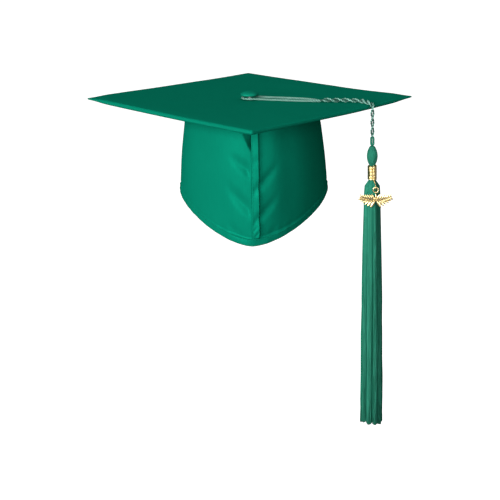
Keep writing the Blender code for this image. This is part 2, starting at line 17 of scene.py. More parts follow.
import bmesh
import bpy
from bmesh.types import BMesh, BMVert
from mathutils import Matrix, Vector, kdtree, noise
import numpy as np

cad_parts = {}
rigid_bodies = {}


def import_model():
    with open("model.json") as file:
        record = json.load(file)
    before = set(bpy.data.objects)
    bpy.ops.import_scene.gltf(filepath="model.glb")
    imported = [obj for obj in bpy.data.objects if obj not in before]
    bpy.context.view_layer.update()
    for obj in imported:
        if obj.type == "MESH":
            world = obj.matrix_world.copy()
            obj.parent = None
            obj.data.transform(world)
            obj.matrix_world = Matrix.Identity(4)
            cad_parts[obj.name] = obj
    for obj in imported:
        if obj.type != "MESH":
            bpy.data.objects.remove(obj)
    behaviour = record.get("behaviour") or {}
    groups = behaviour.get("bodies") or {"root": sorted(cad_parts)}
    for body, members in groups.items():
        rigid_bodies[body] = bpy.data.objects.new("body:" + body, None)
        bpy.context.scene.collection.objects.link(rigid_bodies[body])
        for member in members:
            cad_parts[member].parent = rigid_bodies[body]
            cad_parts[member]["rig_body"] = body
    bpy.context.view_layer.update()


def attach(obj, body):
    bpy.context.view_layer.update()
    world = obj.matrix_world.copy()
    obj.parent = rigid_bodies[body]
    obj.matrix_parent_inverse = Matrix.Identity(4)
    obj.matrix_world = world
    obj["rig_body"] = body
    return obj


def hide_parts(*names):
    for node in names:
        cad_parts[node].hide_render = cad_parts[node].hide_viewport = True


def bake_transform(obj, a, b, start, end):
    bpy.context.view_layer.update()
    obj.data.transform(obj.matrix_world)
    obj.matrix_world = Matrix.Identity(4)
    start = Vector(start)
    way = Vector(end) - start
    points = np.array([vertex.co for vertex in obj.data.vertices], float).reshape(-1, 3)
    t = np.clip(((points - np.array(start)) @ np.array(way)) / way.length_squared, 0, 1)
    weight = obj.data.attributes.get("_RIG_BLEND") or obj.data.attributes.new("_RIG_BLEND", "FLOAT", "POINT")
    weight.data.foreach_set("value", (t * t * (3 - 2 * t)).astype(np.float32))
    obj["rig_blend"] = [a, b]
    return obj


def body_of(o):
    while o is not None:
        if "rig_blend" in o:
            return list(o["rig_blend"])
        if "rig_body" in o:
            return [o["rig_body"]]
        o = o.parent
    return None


Colour = tuple[float, float, float]
Height = Callable[[float], float]

log = logging.getLogger("graduation_cap")

TAU = math.tau
UP = Vector((0, 0, 1))
FRONT = Vector((0, -1, 0))
WELD = 1e-6
# The rings of a tube's domed end: how far out and how wide, in radii.
DOME = ((0.5, 0.7), (0.8, 0.0))
UV_NAME = "UVMap"
# Each point's tone: random colour variation, and painted shade in the gaps of twisted strands and on inner
# and clump-edge threads.
TONE_AND_SHADE = "tone"

BOARD_TOP = 0.099
BOARD_THICKNESS = 0.0054
BOARD_MIDDLE = BOARD_TOP - BOARD_THICKNESS / 2
BUTTON_RADIUS = 0.0095
TASSEL_X, TASSEL_Y = 0.1255, -0.0507
EYE_TOP = 0.067
EYE_BOTTOM = 0.0579
BAND_TOP = 0.0372
SKIRT_TOP = 0.0198
SKIRT_BOTTOM = -0.2465
CHARM_EYE = Vector((0.1285, -0.0603, 0.0150))
RING_RADIUS = 0.0024
CASING_TOP = 0.0236
SLOT_START = 0.045
HEM_HEIGHT = 0.0078


class Body(str, Enum):
    """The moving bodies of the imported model."""

    CAP = "cap"
    BACK = "back_elastic"
    CORD = "board_cord"
    HANGING = "hanging_cord"
    EYE = "tassel_eye"
    TASSEL = "tassel"
    RING = "ring"
    SPRIG = "sprig"


class Slot(str, Enum):
    """The record's material slots that the pieces made here use."""

    CARD = "board_card"
    SATIN = "satin"
    LINING = "lining"
    TAPE = "headband_tape"
    ELASTIC = "elastic"
    LABEL = "label"
    CORD = "tassel_cord"
    YARN = "tassel_yarn"
    GILT = "gilt"


class Side(Enum):
    """The two halves of the crown, with the sign of their X."""

    LEFT = -1
    RIGHT = 1


# Small sums


def paint(red: float, green: float, blue: float) -> Colour:
    """Returns a screen colour, 0 to 255 a channel, as linear light."""
    return tuple(
        c / 12.92 if c <= 0.04045 else ((c + 0.055) / 1.055) ** 2.4
        for c in (red / 255, green / 255, blue / 255)
    )


def lerp(start: float, end: float, share: float) -> float:
    """Returns the value that lies a share of the way from start to end."""
    return start + (end - start) * share


def ease(low: float, high: float, value: float) -> float:
    """Returns 0 below low, 1 above high and a smooth rise between them."""
    share = min(1.0, max(0.0, (value - low) / (high - low)))
    return share * share * (3 - 2 * share)


def table(stops: Sequence[tuple[float, float]], value: float) -> float:
    """Returns the value between the stops of a table of (place, value) pairs.

    Args:
        stops: Pairs in rising order of place.
        value: The place to look up.
    """
    i = bisect_left(stops, (value,))
    if i == 0 or i == len(stops):
        return stops[min(i, len(stops) - 1)][1]
    (start, first), (end, second) = stops[i - 1], stops[i]
    return lerp(first, second, (value - start) / (end - start))


# Lines


def around(centre: Vector, first: Vector, second: Vector, reach: float, turn: float) -> Vector:
    """Returns the point on a circle that is turn radians from first on the way to second."""
    return centre + (first * math.cos(turn) + second * math.sin(turn)) * reach


def from_axis(reach: float, turn: float, z: float) -> Vector:
    """Returns the point at a distance and an angle from the Z axis."""
    return Vector((reach * math.cos(turn), reach * math.sin(turn), z))


def length_of(points: Sequence[Vector]) -> float:
    """Returns the length of a line through the points."""
    return sum((b - a).length for a, b in zip(points, points[1:]))


def curve_through(points: Sequence[Vector], spacing: float) -> list[Vector]:
    """Draws a smooth curve through points and divides it evenly.

    Args:
        points: The points that the curve passes through.
        spacing: The distance between the points of the result.

    Returns:
        Points a steady distance apart along the curve.
    """
    ends = [points[0] * 2 - points[1], *points, points[-1] * 2 - points[-2]]
    fine: list[Vector] = []
    parts = 16
    for before, start, end, after in zip(ends, ends[1:], ends[2:], ends[3:]):
        for step in range(parts):
            t = step / parts
            fine.append(0.5 * (
                2 * start + (end - before) * t
                + (2 * before - 5 * start + 4 * end - after) * t * t
                + (3 * start - before - 3 * end + after) * t ** 3
            ))
    fine.append(points[-1].copy())
    return divided(fine, spacing)


def divided(line: Sequence[Vector], spacing: float) -> list[Vector]:
    """Divides a line evenly, its two ends included.

    Args:
        line: The points of the line.
        spacing: About how far apart the new points lie.

    Returns:
        The new points.
    """
    reached = [0.0]
    for a, b in zip(line, line[1:]):
        reached.append(reached[-1] + (b - a).length)
    count = max(1, round(reached[-1] / spacing))
    made, i = [], 0
    for step in range(count + 1):
        goal = reached[-1] * step / count
        while i < len(line) - 2 and reached[i + 1] < goal:
            i += 1
        span = reached[i + 1] - reached[i] or 1.0
        made.append(line[i].lerp(line[i + 1], (goal - reached[i]) / span))
    return made


def rounded(stops: Sequence[tuple[float, float]]) -> list[tuple[float, float]]:
    """Returns a table whose values follow a smooth curve through the given stops."""
    curve = curve_through([Vector((place, value, 0)) for place, value in stops], 0.0004)
    return [(point.x, point.y) for point in curve]


def board_lift(x: float) -> float:
    """Returns how far the board, a little bent up at its side corners, stands above flat."""
    if x < 0:
        return 0.0052 * (-x / 0.169) ** 1.5
    return 0.0026 * (max(0.0, x - 0.10) / 0.069) ** 1.5


def on_corner(x: float, y: float) -> tuple[float, float]:
    """Returns where a place on a square goes when one of its corners is turned to the front."""
    return (x + y) * math.sqrt(0.5), (y - x) * math.sqrt(0.5)


def corner_share(x: float) -> float:
    """Returns how thick the board is, as a share, where its side corners are pressed thin."""
    return 1 - 0.55 * ease(0.148, 0.1700, abs(x))


def frames(line: Sequence[Vector]) -> list[tuple[Vector, Vector, Vector]]:
    """Finds directions along a line that don't twist round it.

    Args:
        line: The points of the line.

    Returns:
        For each point, the way forward and two directions square to it.
    """
    last = len(line) - 1
    ways = [(line[min(i + 1, last)] - line[max(i - 1, 0)]).normalized() for i in range(last + 1)]
    side = ways[0].orthogonal().normalized()
    made = []
    for way in ways:
        side = (side - way * side.dot(way)).normalized()
        made.append((way, side, way.cross(side)))
    return made


def wound(line: Sequence[Vector], radius: float, pitch: float, phase: float) -> list[Vector]:
    """Winds a strand round a line.

    Args:
        line: The points of the line in the middle.
        radius: How far the strand's own middle is from the line.
        pitch: The length of one turn.
        phase: Where the strand starts, in turns.

    Returns:
        The points of the strand's middle.
    """
    made, reached = [], 0.0
    for i, (point, (_, side, up)) in enumerate(zip(line, frames(line))):
        if i:
            reached += (point - line[i - 1]).length
        made.append(around(point, side, up, radius, TAU * (phase + reached / pitch)))
    return made


# Meshes


def new_bmesh() -> BMesh:
    """Returns an empty mesh in the making that carries a UV map and a tone for each point, painted shade
    included where it is set.
    """
    bm = bmesh.new()
    bm.loops.layers.uv.new(UV_NAME)
    bm.verts.layers.float.new(TONE_AND_SHADE)
    return bm


def shade_gaps(bm: BMesh, line: Sequence[Vector], deep: float, full: float) -> None:
    """Paints shade into the tone of twisted strands: 0, for painted shade, in the gaps between them and 1 on
    their crests.

    Args:
        bm: The mesh in the making.
        line: The line that the strands wind round.
        deep: The distance from the line where the tone is 0.
        full: The distance where it is 1.
    """
    tree = kdtree.KDTree(len(line))
    for i, point in enumerate(line):
        tree.insert(point, i)
    tree.balance()
    tone = bm.verts.layers.float[TONE_AND_SHADE]
    for vert in bm.verts:
        vert[tone] = ease(deep, full, tree.find(vert.co)[2])


def lay_grid(
    bm: BMesh,
    columns: int,
    rows: int,
    place: Callable[[float, float], Vector],
    size: tuple[float, float] = (1.0, 1.0),
    closed: bool = False,
) -> list[BMVert]:
    """Adds a grid and bends it to a shape.

    Args:
        bm: The mesh in the making.
        columns: Faces across, in the direction of u.
        rows: Faces along, in the direction of v.
        place: Gives the point for u and v, each from 0 to 1.
        size: The cloth's size in metres, which its UV map is drawn to.
        closed: Whether the first and last column meet, as round a tube.

    Returns:
        The grid's vertices.
    """
    made = bmesh.ops.create_grid(
        bm, x_segments=columns, y_segments=rows, size=0.5, calc_uvs=True
    )["verts"]
    uv = bm.loops.layers.uv.active
    spots = [(vert, vert.co.x + 0.5, vert.co.y + 0.5) for vert in made]
    for vert, u, v in spots:
        for loop in vert.link_loops:
            loop[uv].uv = (u * size[0], v * size[1])
    for vert, u, v in spots:
        vert.co = place(u, v)
    if closed:
        bmesh.ops.remove_doubles(bm, verts=made, dist=WELD)
    return [vert for vert in made if vert.is_valid]


def sweep(
    bm: BMesh, line: Sequence[Vector], radius: float | Callable[[float], float], sides: int
) -> list[BMVert]:
    """Adds a round tube with domed ends along a line.

    Args:
        bm: The mesh in the making.
        line: The points of the tube's middle.
        radius: Its radius, or a function that gives it for the share of the way along.
        sides: Faces round it.

    Returns:
        The tube's vertices.
    """
    width = radius if callable(radius) else (lambda share: radius)
    axes = frames(line)
    last = len(line) - 1
    stations = [(p, *axes[i][1:], width(i / last)) for i, p in enumerate(line)]
    (start, *first, foot), (end, *final, head) = stations[0], stations[-1]
    for out, share in DOME:
        stations.insert(0, (start - axes[0][0] * foot * out, *first, foot * share))
        stations.append((end + axes[-1][0] * head * out, *final, head * share))
    rows = len(stations) - 1

    def place(u: float, v: float) -> Vector:
        """Returns the tube's point at u round and v along."""
        centre, side, up, reach = stations[round(v * rows)]
        return around(centre, side, up, reach, TAU * u)

    size = (TAU * width(0.5), length_of(line))
    return lay_grid(bm, sides, rows, place, size, closed=True)


def stamp(
    bm: BMesh, template: bpy.types.Mesh, place: Callable[[Vector], Vector], tone: float = 0.0
) -> None:
    """Adds a copy of a small mesh.

    Args:
        bm: The mesh in the making.
        template: The small mesh.
        place: Gives the new place of each of its points.
        tone: The copy's tone, from 0 for deep to 1 for light, painted shade included.
    """
    before = len(bm.verts)
    bm.from_mesh(template)
    bm.verts.ensure_lookup_table()
    layer = bm.verts.layers.float[TONE_AND_SHADE]
    for i in range(before, len(bm.verts)):
        bm.verts[i].co = place(bm.verts[i].co)
        bm.verts[i][layer] = tone


def rod_template(sides: int, rows: int) -> bpy.types.Mesh:
    """Makes a thin rod of radius 1 from z = 0 to 1 with closed ends, to stamp many times.

    Args:
        sides: Faces round it.
        rows: Faces along it.

    Returns:
        The rod's mesh.
    """
    bm = new_bmesh()

    def place(u: float, v: float) -> Vector:
        """Returns the rod's point at u round and v along."""
        return from_axis(0.0 if v < WELD or v > 1 - WELD else 1.0, TAU * u, v)

    lay_grid(bm, sides, rows, place, (1.0, 1.0), closed=True)
    mesh = bpy.data.meshes.new("rod")
    bm.to_mesh(mesh)
    bm.free()
    return mesh


# Finishes


class Value:
    """A number worked out for each point of a surface. Sums on it add Math nodes."""

    def __init__(self, desk: "NodeDesk", socket: bpy.types.NodeSocket) -> None:
        """Keeps the socket and the desk that it belongs to."""
        self.desk = desk
        self.socket = socket

    def sum(self, operation: str, *values: "Value | float") -> "Value":
        """Returns a Math node's result on the given values."""
        return self.desk.add("ShaderNodeMath", {"operation": operation}, dict(enumerate(values)))

    def __add__(self, other: "Value | float") -> "Value":
        """Returns the sum."""
        return self.sum("ADD", self, other)

    __radd__ = __add__

    def __mul__(self, other: "Value | float") -> "Value":
        """Returns the product."""
        return self.sum("MULTIPLY", self, other)

    __rmul__ = __mul__

    def __pow__(self, other: "Value | float") -> "Value":
        """Returns this value to a power."""
        return self.sum("POWER", self, other)

    def sine(self) -> "Value":
        """Returns the sine of this value."""
        return self.sum("SINE", self)


class NodeDesk:
    """The nodes of one material, added one at a time."""

    def __init__(self, name: str) -> None:
        """Starts a material with an empty node tree."""
        self.material = bpy.data.materials.new(name)
        self.material.use_nodes = True
        self.tree = self.material.node_tree
        self.tree.nodes.clear()

    def add(
        self,
        kind: str,
        settings: Mapping[str, object] | None = None,
        sockets: Mapping[int | str, object] | None = None,
        out: int | str = 0,
    ) -> Value:
        """Adds a node.

        Args:
            kind: The node's type.
            settings: What is set before its sockets.
            sockets: Numbers, colours or links for its inputs.
            out: Which of its outputs to return.

        Returns:
            That output.
        """
        node = self.tree.nodes.new(kind)
        for name, value in (settings or {}).items():
            setattr(node, name, value)
        for key, value in (sockets or {}).items():
            socket = node.inputs[key]
            if isinstance(value, Value):
                self.tree.links.new(value.socket, socket)
            elif socket.type == "RGBA":
                socket.default_value = (*value, 1.0)
            else:
                socket.default_value = value
        return Value(self, node.outputs[out]) if node.outputs else None

    def mix(self, share: Value, first: Colour, second: Colour) -> Value:
        """Returns two colours mixed, where share says how much of the second there is."""
        return self.add(
            "ShaderNodeMix", {"data_type": "RGBA"}, {0: share, 6: first, 7: second}, out=2
        )

    def across_and_along(self) -> tuple[Value, Value]:
        """Returns the two directions of the piece's UV map, in metres."""
        uv = self.add("ShaderNodeUVMap", {"uv_map": UV_NAME})
        split = self.tree.nodes.new("ShaderNodeSeparateXYZ")
        self.tree.links.new(uv.socket, split.inputs[0])
        return Value(self, split.outputs[0]), Value(self, split.outputs[1])

    def cloud(
        self, scale: float, detail: float = 2.0, stretch: Sequence[float] = (1, 1, 1),
        on_cloth: bool = False,
    ) -> Value:
        """Adds soft noise.

        Args:
            scale: How many blotches there are in a metre.
            detail: How much finer noise is in it.
            stretch: The noise's scale in each direction.
            on_cloth: Whether it follows the UV map instead of the object's place.

        Returns:
            The noise, from 0 to 1.
        """
        if on_cloth:
            where = self.add("ShaderNodeUVMap", {"uv_map": UV_NAME})
        else:
            where = self.add("ShaderNodeTexCoord", out="Object")
        placed = self.add("ShaderNodeMapping", {}, {"Vector": where, "Scale": tuple(stretch)})
        return self.add(
            "ShaderNodeTexNoise", {}, {"Vector": placed, "Scale": scale, "Detail": detail}
        )

    def bump(
        self, height: Value, depth: float, strength: float = 1.0, under: Value | None = None
    ) -> Value:
        """Returns the normal of a surface with relief.

        Args:
            height: The relief's height, from 0 to 1.
            depth: How deep it is, in metres.
            strength: How strongly it shows.
            under: The normal of a finer relief that it lies over.

        Returns:
            The normal.
        """
        sockets = {"Height": height, "Distance": depth, "Strength": strength}
        if under:
            sockets["Normal"] = under
        return self.add("ShaderNodeBump", {}, sockets)

    def surface(self, sockets: Mapping[str, object]) -> bpy.types.Material:
        """Closes the material with a Principled surface and returns it."""
        shader = self.add("ShaderNodeBsdfPrincipled", {}, sockets)
        self.add("ShaderNodeOutputMaterial", {}, {"Surface": shader})
        return self.material


@dataclass(frozen=True)
class Finish(ABC):
    """What a surface is made of."""

    name: str

    def material(self) -> bpy.types.Material:
        """Returns the finish's material, made the first time it is asked for."""
        return bpy.data.materials.get(self.name) or self.make()

    @abstractmethod
    def make(self) -> bpy.types.Material:
        """Makes the material."""


@dataclass(frozen=True)
class Satin(Finish):
    """Woven satin: long shiny floats with a soft, wide gloss."""

    light: Colour
    deep: Colour
    thread: float = 0.00042
    roughness: float = 0.36
    gloss: float = 0.12

    def make(self) -> bpy.types.Material:
        """Makes the material."""
        desk = NodeDesk(self.name)
        across, along = desk.across_and_along()
        warp = (across * (TAU / self.thread)).sine()
        floats = (across * (TAU / self.thread / 5) + along * (TAU / self.thread / 2)).sine()
        slub = desk.cloud(60.0, 2.0, (9.0, 0.8, 1.0), on_cloth=True)
        blotch = desk.cloud(16.0, 3.0)
        crease = desk.cloud(95.0, 3.0, (1.0, 1.0, 0.45))
        tone = slub * 0.45 + blotch * 0.55
        fine = desk.bump(warp * 0.10 + floats * 0.10 + slub * 0.30, 0.00006)
        return desk.surface({
            "Base Color": desk.mix(tone, self.deep, self.light),
            "Roughness": self.roughness + slub * 0.10,
            "Metallic": self.gloss,
            "Specular IOR Level": 0.0,
            "Specular Tint": (0.02, 0.50, 0.36),
            "Normal": desk.bump(crease, 0.00045, 0.55, fine),
        })


@dataclass(frozen=True)
class PlainCloth(Finish):
    """Plain-woven cloth or tape, dull, with crossing threads that show."""

    light: Colour
    deep: Colour
    thread: float = 0.0005
    rib: float = 0.0
    sheen: float = 0.25

    def make(self) -> bpy.types.Material:
        """Makes the material."""
        desk = NodeDesk(self.name)
        across, along = desk.across_and_along()
        step = TAU / self.thread
        weave = (across * step).sine() * (along * step).sine()
        fuzz = desk.cloud(420.0, 3.0)
        relief = weave * 0.5 + fuzz * 0.5
        if self.rib:
            relief = relief * 0.4 + (along * (TAU / self.rib)).sine() * 0.6
        colour = desk.mix(relief * 0.5 + 0.5, self.deep, self.light)
        return desk.surface({
            "Base Color": colour,
            "Roughness": 0.78 + fuzz * 0.15,
            "Specular IOR Level": 0.2,
            "Sheen Weight": self.sheen,
            "Sheen Roughness": 0.5,
            "Normal": desk.bump(relief, 0.00015),
        })


@dataclass(frozen=True)
class Yarn(Finish):
    """Shiny rayon filaments that run along a strand with a slight twist."""

    light: Colour
    deep: Colour
    filaments: float = 0.00022
    slant: float = 0.6
    roughness: float = 0.42
    gloss: float = 0.15

    def make(self) -> bpy.types.Material:
        """Makes the material."""
        desk = NodeDesk(self.name)
        across, along = desk.across_and_along()
        step = TAU / self.filaments
        lines = (across * step + along * (step * self.slant)).sine()
        streak = desk.cloud(240.0, 2.0, (1.0, 1.0, 0.06))
        # The tone attribute mixes painted shade into the colour: dark in the gaps between strands and on
        # inner or clump-edge threads.
        depth = desk.add("ShaderNodeAttribute", {"attribute_name": TONE_AND_SHADE}, out="Fac")
        tone = lines * 0.10 + streak * 0.35 + depth * 0.75
        return desk.surface({
            "Base Color": desk.mix(tone, self.deep, self.light),
            "Roughness": self.roughness + streak * 0.12,
            "Metallic": self.gloss,
            "Specular IOR Level": 0.0,
            "Specular Tint": (0.25, 0.8, 0.6),
            "Normal": desk.bump(lines, 0.00005),
        })


@dataclass(frozen=True)
class Metal(Finish):
    """Plated metal with faint polishing marks and tarnish in its hollows."""

    light: Colour
    deep: Colour
    roughness: float = 0.2

    def make(self) -> bpy.types.Material:
        """Makes the material."""
        desk = NodeDesk(self.name)
        tarnish = desk.cloud(380.0, 4.0)
        marks = desk.cloud(1500.0, 2.0, (1.0, 1.0, 4.0))
        return desk.surface({
            "Base Color": desk.mix(tarnish ** 1.6, self.light, self.deep),
            "Metallic": 1.0,
            "Roughness": self.roughness + marks * 0.12,
            "Normal": desk.bump(marks, 0.00001),
        })


@dataclass(frozen=True)
class Greyboard(Finish):
    """Pressed paper board with flecks of fibre."""

    light: Colour
    deep: Colour

    def make(self) -> bpy.types.Material:
        """Makes the material."""
        desk = NodeDesk(self.name)
        fibre = desk.cloud(700.0, 4.0, (1.0, 0.25, 1.0))
        return desk.surface({
            "Base Color": desk.mix(fibre, self.deep, self.light),
            "Roughness": 0.85 + fibre * 0.1,
            "Specular IOR Level": 0.2,
            "Normal": desk.bump(fibre, 0.0001),
        })


GREEN_SATIN = Satin("green_satin", paint(8, 128, 102), paint(3, 116, 92))
# The green satin made lighter for the button: painted light on its dome.
LIT_BUTTON_SATIN = Satin("button_satin_painted_light", paint(16, 140, 112), paint(8, 124, 99), gloss=0.25)
GREEN_LINING = PlainCloth("green_lining", paint(12, 112, 90), paint(6, 88, 70))
TWILL_TAPE = PlainCloth("headband_twill", paint(10, 108, 84), paint(5, 84, 66), 0.0007)
WHITE_ELASTIC = PlainCloth(
    "woven_elastic", paint(232, 230, 222), paint(188, 186, 178), 0.0006, 0.0012
)
LABEL_CLOTH = PlainCloth("label_ribbon", paint(238, 238, 234), paint(214, 214, 208), 0.0003)
SEWING_THREAD = Yarn("green_sewing_thread", paint(40, 170, 136), paint(16, 132, 104), 0.00015)
# Where a yarn's tone holds painted shade, its deep colour is that shade: the cord's near-black gaps are
# painted shade and its pale mint crests partly painted highlight.
CORD_RAYON = Yarn("cord_rayon", paint(178, 240, 222), paint(4, 66, 52), 0.00024, 0.9, 0.34, 0.3)
TASSEL_RAYON = Yarn("tassel_rayon", paint(66, 164, 136), paint(8, 96, 74), 0.00030, 0.15)
# A darker copy of the tassel rayon: painted shade for the yarn seen between the skirt's threads.
TASSEL_CORE_SHADE = Yarn("tassel_core_painted_shade", paint(14, 96, 74), paint(4, 62, 48), 0.00030, 0.15)
GOLD = Metal("gilt_metal", (1.0, 0.84, 0.46), (0.86, 0.62, 0.25), 0.20)
STEEL = Metal("button_steel", (0.62, 0.62, 0.63), (0.42, 0.42, 0.43), 0.3)
CARD = Greyboard("greyboard", paint(178, 168, 150), paint(140, 130, 114))


# Pieces


@dataclass
class SubAssembly(ABC):
    """A group of pieces that is made and dressed together."""

    pieces: list[bpy.types.Object] = field(default_factory=list, init=False)

    @abstractmethod
    def build(self) -> None:
        """Makes the pieces."""

    def keep(
        self,
        name: str,
        bm: BMesh,
        finish: Finish,
        slot: Slot,
        stands_for: Iterable[str] = (),
        body: Body | None = None,
        closed: bool = True,
    ) -> bpy.types.Object:
        """Makes a mesh in the making into a finished piece.

        Args:
            name: The piece's name.
            bm: The mesh in the making, which is freed.
            finish: What it is made of.
            slot: The record's material slot; not used.
            stands_for: The CAD nodes that it replaces.
            body: The body that it rides on, or None where it is blended later.
            closed: Whether it is a closed shape, whose faces are turned outwards.

        Returns:
            The piece's object.
        """
        if closed:
            bmesh.ops.recalc_face_normals(bm, faces=bm.faces)
        mesh = bpy.data.meshes.new(name)
        bm.to_mesh(mesh)
        bm.free()
        mesh.shade_smooth()
        mesh.materials.append(finish.material())
        piece = bpy.data.objects.new(name, mesh)
        bpy.context.scene.collection.objects.link(piece)
        if body:
            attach(piece, body.value)
        if stands_for:
            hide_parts(*stands_for)
        self.pieces.append(piece)
        return piece


# Studio


# Each light's name, place, side in metres, power in watts and whether it lights the cloth's
# own colour or shows only as gloss.
LIGHTS = (
    ("key", (-1.9, -1.7, 0.70), 1.0, 60.0, True),
    ("front", (-0.5, -2.2, 0.45), 1.1, 26.0, True),
    ("top", (0.3, -0.3, 2.2), 1.4, 9.0, True),
    ("glint", (1.5, -1.8, 0.5), 0.8, 20.0, False),
)
AIM = Vector((0, 0, 0.04))


@dataclass
class Studio(SubAssembly):
    """The camera, the soft lights and the pale floor."""

    distance: float = 2.0
    lens_mm: float = 136.44
    sensor_mm: float = 36.0
    height_angle: float = 0.1793
    pitch: float = 0.2589
    roll: float = -0.0129
    yaw: float = -0.0079
    pan: float = 0.0009
    floor_z: float = -0.34
    floor_profile: tuple[tuple[float, float], ...] = (
        (0.0, 0.0), (9.0, 0.0), (30.0, 0.02), (60.0, 0.1),
    )
    floor_glow: float = 0.9
    room_glow: float = 0.20

    def build(self) -> None:
        """Makes the camera, the lights, the world and the floor."""
        self.set_camera()
        self.lay_floor()
        self.set_world()
        for light in LIGHTS:
            self.hang_light(*light)
        view = bpy.context.scene.view_settings
        view.view_transform = "Standard"
        view.look = "None"

    def set_camera(self) -> None:
        """Puts the camera in front of the cap, a little above the board."""
        data = bpy.data.cameras.new("camera")
        data.sensor_width = self.sensor_mm
        data.lens = self.lens_mm
        data.clip_end = 200.0
        camera = bpy.data.objects.new("camera", data)
        level, rise = math.cos(self.height_angle), math.sin(self.height_angle)
        where = Vector((0, 0, BOARD_TOP)) + self.distance * Vector((
            math.sin(self.yaw) * level, -math.cos(self.yaw) * level, rise
        ))
        heading = self.yaw + self.pan
        forward = Vector((
            -math.sin(heading) * math.cos(self.pitch),
            math.cos(heading) * math.cos(self.pitch),
            -math.sin(self.pitch),
        ))
        right = forward.cross(UP).normalized()
        up = right.cross(forward)
        cos, sin = math.cos(self.roll), math.sin(self.roll)
        axes = (right * cos + up * sin, up * cos - right * sin, -forward)
        turned = Matrix(axes).transposed().to_4x4()
        camera.matrix_world = Matrix.Translation(where) @ turned
        bpy.context.scene.collection.objects.link(camera)
        bpy.context.scene.camera = camera

    def lay_floor(self) -> None:
        """Lays a wide pale floor that curves up a little at its rim."""
        bm = new_bmesh()
        points = [bm.verts.new((r, 0, self.floor_z + z)) for r, z in self.floor_profile]
        edges = [bm.edges.new(pair) for pair in zip(points, points[1:])]
        bmesh.ops.spin(
            bm, geom=points + edges, cent=(0, 0, 0), axis=(0, 0, 1), angle=TAU, steps=64,
            use_merge=True, use_duplicate=False,
        )
        bmesh.ops.remove_doubles(bm, verts=bm.verts, dist=WELD)
        mesh = bpy.data.meshes.new("floor")
        bm.to_mesh(mesh)
        bm.free()
        mesh.shade_smooth()
        desk = NodeDesk("floor_paper")
        grain = desk.cloud(3.0)
        desk.surface({
            "Base Color": (0.82, 0.82, 0.82),
            "Roughness": 0.9 + grain * 0.05,
            "Specular IOR Level": 0.0,
            "Emission Color": (1.0, 1.0, 1.0),
            "Emission Strength": self.floor_glow,
        })
        mesh.materials.append(desk.material)
        floor = bpy.data.objects.new("floor", mesh)
        floor.visible_diffuse = floor.visible_glossy = False
        bpy.context.scene.collection.objects.link(floor)

    def set_world(self) -> None:
        """Fills the room with a weak, even light, and shows white behind the cap."""
        world = bpy.data.worlds.new("room")
        world.use_nodes = True
        nodes, links = world.node_tree.nodes, world.node_tree.links
        background = nodes["Background"]
        background.inputs["Color"].default_value = (1.0, 1.0, 1.0, 1.0)
        rays = nodes.new("ShaderNodeLightPath")
        strength = nodes.new("ShaderNodeMapRange")
        strength.inputs["To Min"].default_value = self.room_glow
        strength.inputs["To Max"].default_value = 1.0
        links.new(rays.outputs["Is Camera Ray"], strength.inputs["Value"])
        links.new(strength.outputs["Result"], background.inputs["Strength"])
        bpy.context.scene.world = world

    def hang_light(
        self,
        name: str,
        where: tuple[float, float, float],
        size: float,
        watts: float,
        on_colour: bool,
    ) -> None:
        """Hangs a square soft light that faces the cap.

        Args:
            name: The light's name.
            where: Its place.
            size: The length of its side.
            watts: Its power.
            on_colour: Whether it lights matt colour too, and not only gloss.
        """
        data = bpy.data.lights.new(name, "AREA")
        data.shape = "SQUARE"
        data.size = size
        data.energy = watts
        light = bpy.data.objects.new(name, data)
        light.location = where
        light.rotation_euler = (AIM - light.location).to_track_quat("-Z", "Y").to_euler()
        light.visible_diffuse = on_colour
        bpy.context.scene.collection.objects.link(light)


# Cord


LOOP_ROUTE = (
    (0.0728, -0.0238), (0.0670, -0.0172), (0.0608, -0.0130), (0.0485, -0.0078),
    (0.0360, -0.0045), (0.0210, 0.0000), (0.0100, 0.0043), (0.0020, 0.0068),
    (-0.0050, 0.0052), (-0.0077, 0.0000), (-0.0064, -0.0060), (-0.0010, -0.0094),
    (0.0065, -0.0103), (0.0148, -0.0122), (0.0250, -0.0158), (0.0355, -0.0188),
    (0.0480, -0.0222), (0.0600, -0.0248), (0.0724, -0.0266),
)
PAIR_ROUTE = (
    (0.0738, -0.0253), (0.0830, -0.0269), (0.0940, -0.0283), (0.1035, -0.0296),
    (0.1120, -0.0318), (0.1172, -0.0364), (0.1210, -0.0429),
)


